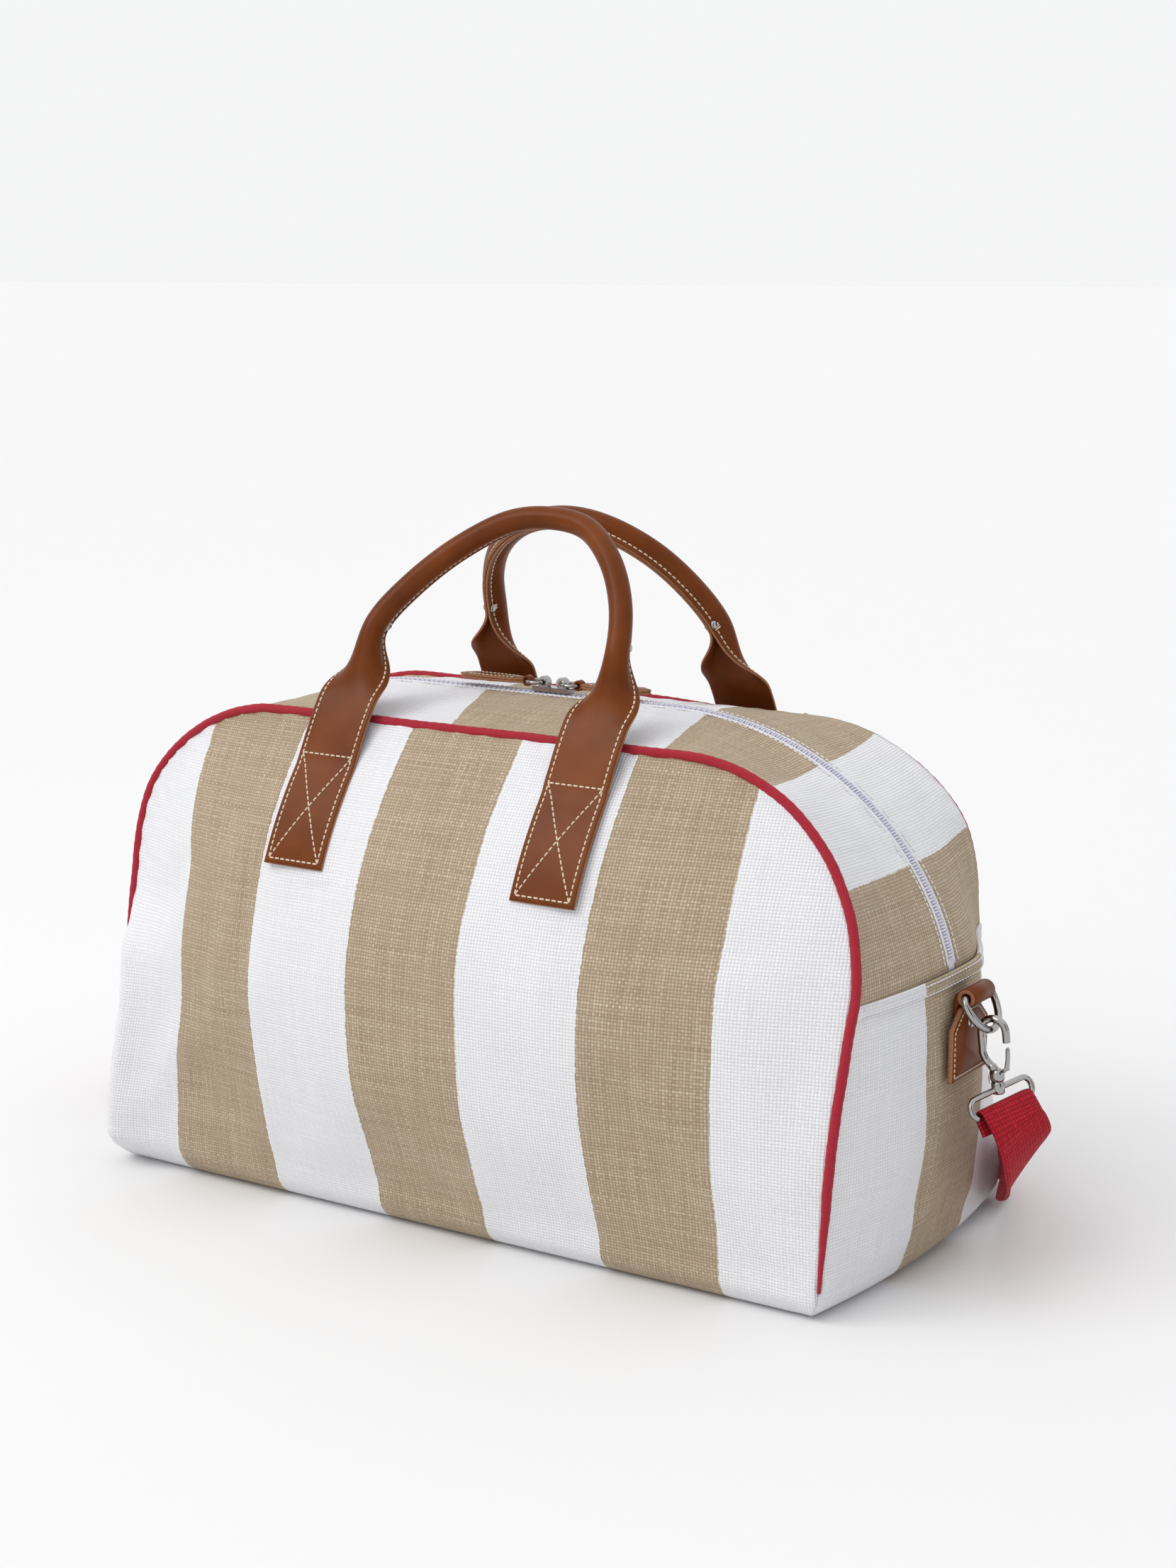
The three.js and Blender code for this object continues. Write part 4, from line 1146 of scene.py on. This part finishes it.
for label, side in (("front", -1), ("back", 1)):
    handle = Handle(label, side)
    strap = handle.mesh(f"handle_strap_{label}")
    seams = handle.stitching(f"handle_stitching_{label}")
    for piece in (strap, seams):
        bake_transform(piece)
    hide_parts(f"handle_{label}", f"handle_{label}_tab_left", f"handle_{label}_tab_right")
    handle_rivets(handle, label)


# ---- Zipper: tape, coil, folded gusset edges ----
def zip_frame(share):
    """A point of the zipper's middle line and its outward direction."""
    x, z = zipper_at(share)
    ax, az = zipper_at(share + 0.004)
    bx, bz = zipper_at(share - 0.004)
    if share * (share + 0.004) < 0 or share * (share - 0.004) < 0:
        return np.array([x, 0, z]), np.array([0, 0, 1.0])
    return np.array([x, 0.0, z]), unit((-(az - bz), 0, ax - bx))


def zipper():
    """The tape with a coil of interlocking teeth."""
    body = Build()
    section = [(1, -1.2), (1, -0.5), (0.5, -0.2), (-0.5, -0.2), (-1, -0.5), (-1, -1.2)]
    rings = []
    stations = 160
    for k in range(stations):
        p, up = zip_frame(GUSSET_REACH * (2 * k / (stations - 1) - 1))
        rings.extend(p + np.array([0, y * ZIP_HALF, 0]) + up * h for y, h in section)
    body.add(rings, tube_faces(stations, len(section)), 0)
    tooth_pitch = 1.7
    teeth = int(2 * ZIPPER_LENGTH / tooth_pitch)
    for k in range(teeth):
        share = 0.985 * (2 * k / (teeth - 1) - 1)
        p, up = zip_frame(share)
        along = np.cross(np.array([0, 1.0, 0]), up)
        shift = 0.35 if k % 2 else -0.35
        arch = ((-2.3, -0.1), (-1.4, 0.55), (1.4, 0.55), (2.3, -0.1))
        path = [p + np.array([0, y + shift, 0]) + up * h for y, h in arch]
        round_wire(body, path, 0.62, along, 6, slot=1)
    return body.done("zipper_tape_and_coil", [TAPE, COIL])


def gusset_hems():
    """Rolled edge of the canvas along the zipper with its row of white stitches."""
    body = Build()
    thread_body = Build()
    for side in (-1, 1):
        edge, row, normals = [], [], []
        for k in range(241):
            share = 0.995 * (2 * k / 240 - 1)
            p = gusset_point(share * -side, 1.0)
            q = gusset_point(share * -side, 0.955)
            n = gusset_normal(share * -side, 0.95)
            if side == 1:
                p, q, n = (np.array([-c[0], -c[1], c[2]]) for c in (p, q, n))
            edge.append(settled(p - n * 0.7))
            row.append(settled(q + n * 0.15))
            normals.append(n)
        round_wire(body, edge, 1.15, np.array([0, 1, 0]), 10)
        stitch_line(thread_body, row, normals, pitch=3.2, thick=0.38)
    hems = body.done("zipper_canvas_fold", [TAPE])
    threads = thread_body.done("zipper_stitching", [THREAD_WHITE])
    place(hems, "bag_body", "canvas")
    place(threads, "bag_body", "canvas")


place(zipper(), "bag_body", "zipper_tape", "zipper_chain")
gusset_hems()


def side_stitching(left):
    """Two rows of stitches along a side panel's hem."""
    body = Build()
    for z in (SHOULDER_Z - 1.8, SHOULDER_Z - HEM + 1.4):
        row, normals = [], []
        for k in range(90):
            p = side_point(2 * (0.02 + 0.96 * k / 89) - 1, z)
            p[0] += HEM_RISE + 0.25
            row.append(turned(p, left))
            normals.append((-1, 0, 0) if left else (1, 0, 0))
        stitch_line(body, row, normals, pitch=3.2, thick=0.36)
    return body.done("side_stitching_left" if left else "side_stitching_right", [THREAD_WHITE])


place(side_stitching(False), "bag_body", "canvas")
place(side_stitching(True), "bag_body", "canvas")


# ---- Side tab, leather loop, ring, hook and swivel ----
LOOP_X, LOOP_Z = 267.6, 152.0  # the ring's bar, inside its leather loop
RING_HALF, RING_LEG, RING_WIRE = 16.0, 4.0, 2.0
RING_TILT = math.pi / 6  # from hanging straight down
HOOK_R, HOOK_WIRE, HOOK_LEAN = 6.9, 2.0, 0.12
BASE_DROP, PLAY = 26.0, 1.5  # from the ring down to the hook's base; slack on the ring
TURNED_SIDES = 24
RING_DOWN = np.array([math.sin(RING_TILT), 0, -math.cos(RING_TILT)])
RING_END = np.array([LOOP_X, 0, LOOP_Z]) + RING_DOWN * (RING_LEG + RING_HALF)


def hung(p):
    """From the hook's own frame, hanging below the origin, to its place on the ring."""
    x, y, z = p
    c, s = math.cos(HOOK_LEAN), math.sin(HOOK_LEAN)
    return RING_END + np.array([x * c - z * s, y, x * s + z * c])


def mirror(points):
    return [np.array([-p[0], p[1], p[2]]) for p in points]


def both_sides(name, body_name, slot_name, build, *packed):
    """Makes the right-hand piece and its left-hand copy."""
    for side in ("right", "left"):
        body, materials = build()
        if side == "left":
            body.points = mirror(body.points)
            body.faces = [f[::-1] for f in body.faces]
        piece = body.done(f"{name}_{side}", materials)
        owner = body_name if body_name in ("bag_body", "shoulder_strap") else f"{body_name}_{side}"
        place(piece, owner, slot_name, *[f"{node}_{side}" for node in packed])


def d_ring():
    """A straight bar with rounded corners and a half circle below it."""
    corner = 3.5
    half_turn = np.linspace(0, math.pi, 40)
    flat = [(RING_HALF * math.cos(a), RING_LEG + RING_HALF * math.sin(a)) for a in half_turn]
    for side in (-1, 1):
        for i in range(9):
            a = (i if side < 0 else 8 - i) * math.pi / 16
            flat.append((side * (RING_HALF - corner + corner * math.cos(a)), corner - corner * math.sin(a)))
    path = [np.array([LOOP_X, y, LOOP_Z]) + RING_DOWN * down for y, down in flat]
    body = Build()
    round_wire(body, path, RING_WIRE, np.cross(RING_DOWN, (0, 1, 0)), 18, looped=True)
    return body, [NICKEL]


def hook():
    """A round-wire hook on a turned base."""
    path = [(0, 0, -BASE_DROP + 3), (-2.4, 0, -BASE_DROP + 6), (-5.4, 0, -BASE_DROP + 9.5),
            (-HOOK_R, 0, -BASE_DROP + 13.5), (-HOOK_R, 0, -10)]
    path += [(HOOK_R * math.cos(a), 0, -PLAY + HOOK_R * math.sin(a)) for a in np.linspace(math.pi, 0, 15)]
    path.append((HOOK_R, 0, -7))
    body = Build()

    def wire(t):
        return HOOK_WIRE * (1.15 if t < 0.08 else 1.0)

    smooth = spline([hung(p) for p in path], 90)
    round_wire(body, smooth, wire, np.array([0, 1.0, 0]), 18, flat=1.15)
    profile = [(0.05, 5.2), (2.2, 5.0), (3.6, 4.2), (4.0, 2.5), (4.0, 0.0), (3.5, -1.4), (2.4, -2.0),
               (0.05, -2.0)]
    rings = []
    for r, h in profile:
        for a in round_angles(TURNED_SIDES):
            rings.append(hung((r * math.cos(a), r * 0.92 * math.sin(a), -BASE_DROP + h)))
    body.add(rings, [f[::-1] for f in tube_faces(len(profile), TURNED_SIDES)])
    return body, [NICKEL]


def gate():
    """A flat spring lever with a rounded thumb end, hinged at the hook's base."""
    body = Build()
    foot, tip = np.array([5.4, 0, -BASE_DROP + 3.6]), np.array([HOOK_R + 0.3, 0, -9.6])
    stations, sides = 24, 18
    rings = []
    for k in range(stations):
        t = k / (stations - 1)
        centre = foot + (tip - foot) * t + np.array([0.5 * math.sin(math.pi * t), 0, 0])
        wide = 1.55 + 0.75 * math.exp(-((t - 0.2) / 0.22) ** 2) - 0.3 * smoothstep((t - 0.7) / 0.3)
        thick = 1.15 * math.sqrt(max(0.02, 1 - abs(2 * t - 1) ** 8))
        for a in round_angles(sides):
            rings.append(hung(centre + np.array([thick * math.cos(a), wide * math.sin(a), 0])))
    body.add(rings, [f[::-1] for f in tube_faces(stations, sides)])
    for side in (1, -1):
        dome(body, hung((5.4, side * 1.9, -BASE_DROP + 4.6)), (0, side, 0), 1.1, 0.7)
    return body, [NICKEL]


BAR_HALF, LOOP_DEPTH, BAR_R = 22.0, 10.0, 1.6
BAR_ALONG = unit((0.33, 0.93, 0.15))
LOOP_DOWN = np.array([0.4, -0.1, -0.91])
LOOP_DOWN = unit(LOOP_DOWN - BAR_ALONG * LOOP_DOWN.dot(BAR_ALONG))
SWIVEL = hung((0, 0, -BASE_DROP - 2.4))
BAR_MIDDLE = SWIVEL + np.array([0.3, 0, -3.4])


def swivel_loop():
    """A flat wire loop for the webbing on a stem that turns in the hook's base."""
    path = []
    corner = LOOP_DEPTH / 2 - 0.4
    for side in (1, -1):
        for a in np.linspace(0, math.pi, 19):
            out = side * (BAR_HALF - corner + corner * math.sin(a) + 0.2)
            down = LOOP_DEPTH / 2 - (corner + 0.4) * math.cos(a) * side
            path.append(BAR_MIDDLE + BAR_ALONG * out + LOOP_DOWN * down)
    body = Build()
    even = spline(path, 120, closed=True)
    round_wire(body, even, BAR_R, np.cross(BAR_ALONG, LOOP_DOWN), 16, looped=True)
    profile = [(0.05, -0.6), (3.0, -0.6), (3.5, 0.2), (3.5, 5.2), (3.0, 6.0), (0.05, 6.0)]
    stem = np.array([math.sin(HOOK_LEAN), 0, -math.cos(HOOK_LEAN)])
    a = unit(np.cross(stem, (0, 1, 0)))
    b = np.cross(a, stem)
    rings = []
    for r, h in profile:
        for t in round_angles(TURNED_SIDES):
            rings.append(SWIVEL + stem * h + r * (a * math.cos(t) + b * math.sin(t)))
    body.add(rings, tube_faces(len(profile), TURNED_SIDES))
    return body, [NICKEL]


def rounded_plate(body, outline, origin, across, up, out, thick):
    """A flat leather piece with slightly rounded edges; its rim shows the raw edge."""
    steps = 5
    outline = np.asarray(outline, float)
    middle = outline.mean(0)
    points = []
    for k in range(steps):
        a = math.pi * k / (steps - 1)
        inset = 0.55 * (1 - math.sin(a))
        height = thick * (0.5 + 0.5 * math.cos(a))
        for q in outline:
            d = q - middle
            q2 = q - d / max(np.linalg.norm(d), 1e-6) * inset
            points.append(origin + across * q2[0] + up * q2[1] + out * height)
    faces = tube_faces(steps, len(outline))
    start = len(body.faces)
    body.add(points, faces)
    body.slots[start:] = [1] * (len(faces) - 2) + [0, 0]


def densify(corners, gap=2.0):
    """A closed outline with points all along its edges."""
    out = []
    for a, b in zip(corners, corners[1:] + corners[:1]):
        a, b = np.array(a, float), np.array(b, float)
        n = max(1, int(np.linalg.norm(b - a) / gap))
        out += [a + (b - a) * i / n for i in range(n)]
    return out


TAB_OUTLINE = [(-21.5, 108), (21.5, 108), (21.5, 136), (10, 146.3), (-10, 146.3), (-21.5, 136)]
X, Y, Z = np.array([1.0, 0, 0]), np.array([0, 1.0, 0]), np.array([0, 0, 1.0])


def side_tab():
    """The stitched leather tab on a side panel."""
    body = Build()
    rounded_plate(body, densify(TAB_OUTLINE), X * 262.3, Y, Z, X, 2.7)
    ring = []
    middle = np.array([0, 126.0])
    for q in densify(TAB_OUTLINE, 0.8) + [np.array(TAB_OUTLINE[0], float)]:
        q2 = middle + (q - middle) * np.array([1 - 2.6 / 21.5, 1 - 2.6 / 19.0])
        ring.append(X * 265.05 + Y * q2[0] + Z * q2[1])
    stitch_line(body, ring, [X] * len(ring), pitch=2.8, thick=0.34, slot=2)
    return body, [LEATHER, LEATHER_EDGE, THREAD_CREAM]


def side_loop():
    """Leather rolled round the ring's bar, its tail sewn under the tab."""
    body = Build()
    outer, inner, half = 5.2, 2.75, 12.5
    rings = []
    turns = 40
    centre = np.array([LOOP_X, 0, LOOP_Z])
    soft_edge = 0.5
    for a in round_angles(turns):
        ray = np.array([math.cos(a), 0, math.sin(a)])
        for r, y in ((inner, -half), (outer - soft_edge, -half), (outer, -half + soft_edge),
                     (outer, half - soft_edge), (outer - soft_edge, half), (inner, half)):
            rings.append(centre + ray * r + Y * y)
    faces = tube_faces(turns, 6, looped=True)
    body.add(rings, faces)
    body.slots = [1 if (k % 6) in (0, 4) else 0 for k in range(len(faces))]
    tail = [(260.4, 134.2), (262.1, 134.2), (262.1, 147.0), (263.6, 148.6), (264.0, 154.2), (261.4, 153.6),
            (260.4, 150.0)]
    front = [np.array([x, -half + 0.3, z]) for x, z in tail]
    back = [np.array([x, half - 0.3, z]) for x, z in tail]
    body.add(front + back, tube_faces(2, len(tail)))
    return body, [LEATHER, LEATHER_EDGE]


def tab_rivet():
    """The stud that holds the loop's tail."""
    body = Build()
    dome(body, (264.9, 0, 137), (1, 0, 0), 3.6, 1.6, sides=28)
    return body, [NICKEL]


both_sides("tab_leather", "bag_body", "leather", side_tab, "side_tab")
both_sides("tab_stud", "bag_body", "nickel", tab_rivet, "side_tab_rivet")
both_sides("loop_leather", "bag_body", "leather", side_loop, "side_loop")
both_sides("ring_wire", "ring", "nickel", d_ring, "d_ring")
both_sides("hook_metal", "hook", "nickel", hook, "snap_hook")
both_sides("gate_metal", "gate", "nickel", gate, "hook_gate")
both_sides("swivel_metal", "shoulder_strap", "nickel", swivel_loop, "swivel_loop")


# ---- Shoulder strap webbing ----
WEB_HALF, WEB_THICK = 18.5, 1.6
# Radius of the webbing's turn round the bar.
WRAP = BAR_R + 0.9 + WEB_THICK / 2
LOW_BAR = BAR_MIDDLE + LOOP_DOWN * LOOP_DEPTH
WEB_OUT = unit(np.cross(BAR_ALONG, LOOP_DOWN))
WEB_OUT = WEB_OUT if WEB_OUT[0] > 0 else -WEB_OUT
# Places of the strap's middle line from the clip to the back of the bag, each with the direction
# of its width. The left half is the same, mirrored.
STRAP_RUN = [
    ((297, 3, 74), (0.3, 0.9, 0.26)),
    ((292, 15, 61), (0.25, 0.76, 0.58)),
    ((277, 36, 48), (0.16, 0.55, 0.82)),
    ((260, 61, 39), (0.06, 0.4, 0.91)),
    ((249.5, 84, 29.5), (0, 0.22, 0.97)),
    ((244, 103, 23), (0, 0.1, 0.99)),
    ((237, 121, 20), (0, 0.02, 1)),
    ((212, 146, 20), (0, -0.1, 1)),
    ((175, 160, 16), (0.2, -0.55, 0.8)),
    ((130, 168, 8), (0.15, -0.93, 0.35)),
    ((85, 172, 2.5), (0, -1, 0.03)),
    ((0, 174, 1.2), (0, -1, 0)),
]


def strap_stations():
    """Places and width directions of the whole strap, with its turn round both bars."""
    def near_bar(across, down):
        return LOW_BAR + WEB_OUT * across + LOOP_DOWN * down

    stations = [(near_bar(-WRAP, 10), BAR_ALONG)]
    for i in range(7):
        a = math.pi * (1 - i / 6)
        stations.append((near_bar(WRAP * math.cos(a), -WRAP * math.sin(a)), BAR_ALONG))
    stations.append((near_bar(WRAP + 2, 12), BAR_ALONG))
    stations += [(np.array(p, float), unit(w)) for p, w in STRAP_RUN]
    back = [(p * (-1, 1, 1), w * (-1, 1, 1)) for p, w in stations[-2::-1]]
    return stations + back


def webbing():
    """The ribbon itself, with a rolled edge on both sides."""
    ribs = 14
    line = np.array([np.concatenate([p, w]) for p, w in strap_stations()])
    line = spline(line, 620)
    centres = line[:, :3]
    along = tangents(centres)
    body_points, cloth = [], []
    travelled = np.concatenate([[0], np.cumsum(np.linalg.norm(np.diff(centres, axis=0), axis=1))])
    section = [(-1, -1), (-1.0, 1)] + [(-1 + 2 * i / ribs, 1) for i in range(1, ribs)]
    section += [(1, 1), (1, -1)] + [(1 - 2 * i / ribs, -1) for i in range(1, ribs)]
    for k, centre in enumerate(centres):
        w = line[k, 3:]
        w = unit(w - along[k] * w.dot(along[k]))
        up = np.cross(w, along[k])
        for a, b in section:
            thin = 1.0 if abs(a) < 0.99 else 0.55
            body_points.append(centre + w * a * WEB_HALF + up * (b * thin * WEB_THICK / 2))
            cloth.append((a * WEB_HALF + 40 * (b > 0), travelled[k]))
    faces = tube_faces(len(centres), len(section))
    return make("webbing_strap", body_points, faces, [WEBBING], {"cloth": cloth})


place(webbing(), "shoulder_strap", "webbing", "strap_webbing")


# ---- Zipper sliders, rings and leather pulls ----
EYE_Z = ZIP_TOP + 6.2
PULL_R = 5.5


def pull_ring(x, away, name, owner, packed):
    """The wire ring between a slider and its leather pull."""
    path = [(x + away * PULL_R + PULL_R * math.cos(a), PULL_R * math.sin(a), EYE_Z)
            for a in np.linspace(0, 2 * math.pi, 40, endpoint=False)]
    body = Build()
    round_wire(body, path, 0.95, np.array([0, 0, 1.0]), 12, looped=True)
    place(body.done(name, [NICKEL]), owner, "nickel", packed)


def pull_tab(x, away, name, owner, packed):
    """A folded strip of leather: an eye round the ring, two layers sewn along both edges."""
    body = Build()
    eye = x + away * 2 * PULL_R
    turns = 28
    rings = []
    for a in round_angles(turns):
        ray = np.array([math.cos(a), 0, math.sin(a)])
        for r, y in ((1.6, -2.1), (2.9, -2.1), (3.0, -1.9), (3.0, 1.9), (2.9, 2.1), (1.6, 2.1)):
            rings.append(np.array([eye, y, EYE_Z]) + ray * r)
    body.add(rings, tube_faces(turns, 6, looped=True))
    corners = [(2.0, -2.1), (8, -5), (38, -6.5), (44, -1.5), (45.5, 2.0), (39, 6.5), (8, 5), (2.0, 2.1)]
    outline = densify(corners, 1.5)
    across = np.array([away, 0, 0.0])
    up = np.array([0, 1.0, 0]) * away
    for low in (-1.45, 0.05):
        rounded_plate(body, outline, np.array([eye, 0, EYE_Z + low]), across, up, Z, 1.4)
    for edge in (-1, 1):
        row = [np.array([eye + away * s, edge * away * (2.9 + 1.4 * (s - 8) / 30), EYE_Z + 1.5])
               for s in np.linspace(8, 38, 30)]
        stitch_line(body, row, [Z] * 30, pitch=2.6, thick=0.32, slot=2)
    place(body.done(name, [LEATHER, LEATHER_EDGE, THREAD_CREAM]), owner, "leather", packed)


for side, away in (("left", -1), ("right", 1)):
    low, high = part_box(f"zipper_slider_{side}")
    x = (low.x + high.x) / 2 / MM
    pull_ring(x, away, f"pull_wire_{side}", f"pull_{side}", f"pull_ring_{side}")
    pull_tab(x, away, f"pull_leather_{side}", f"pull_{side}", f"pull_tab_{side}")
    repaint(f"zipper_slider_{side}", NICKEL, 0.5)
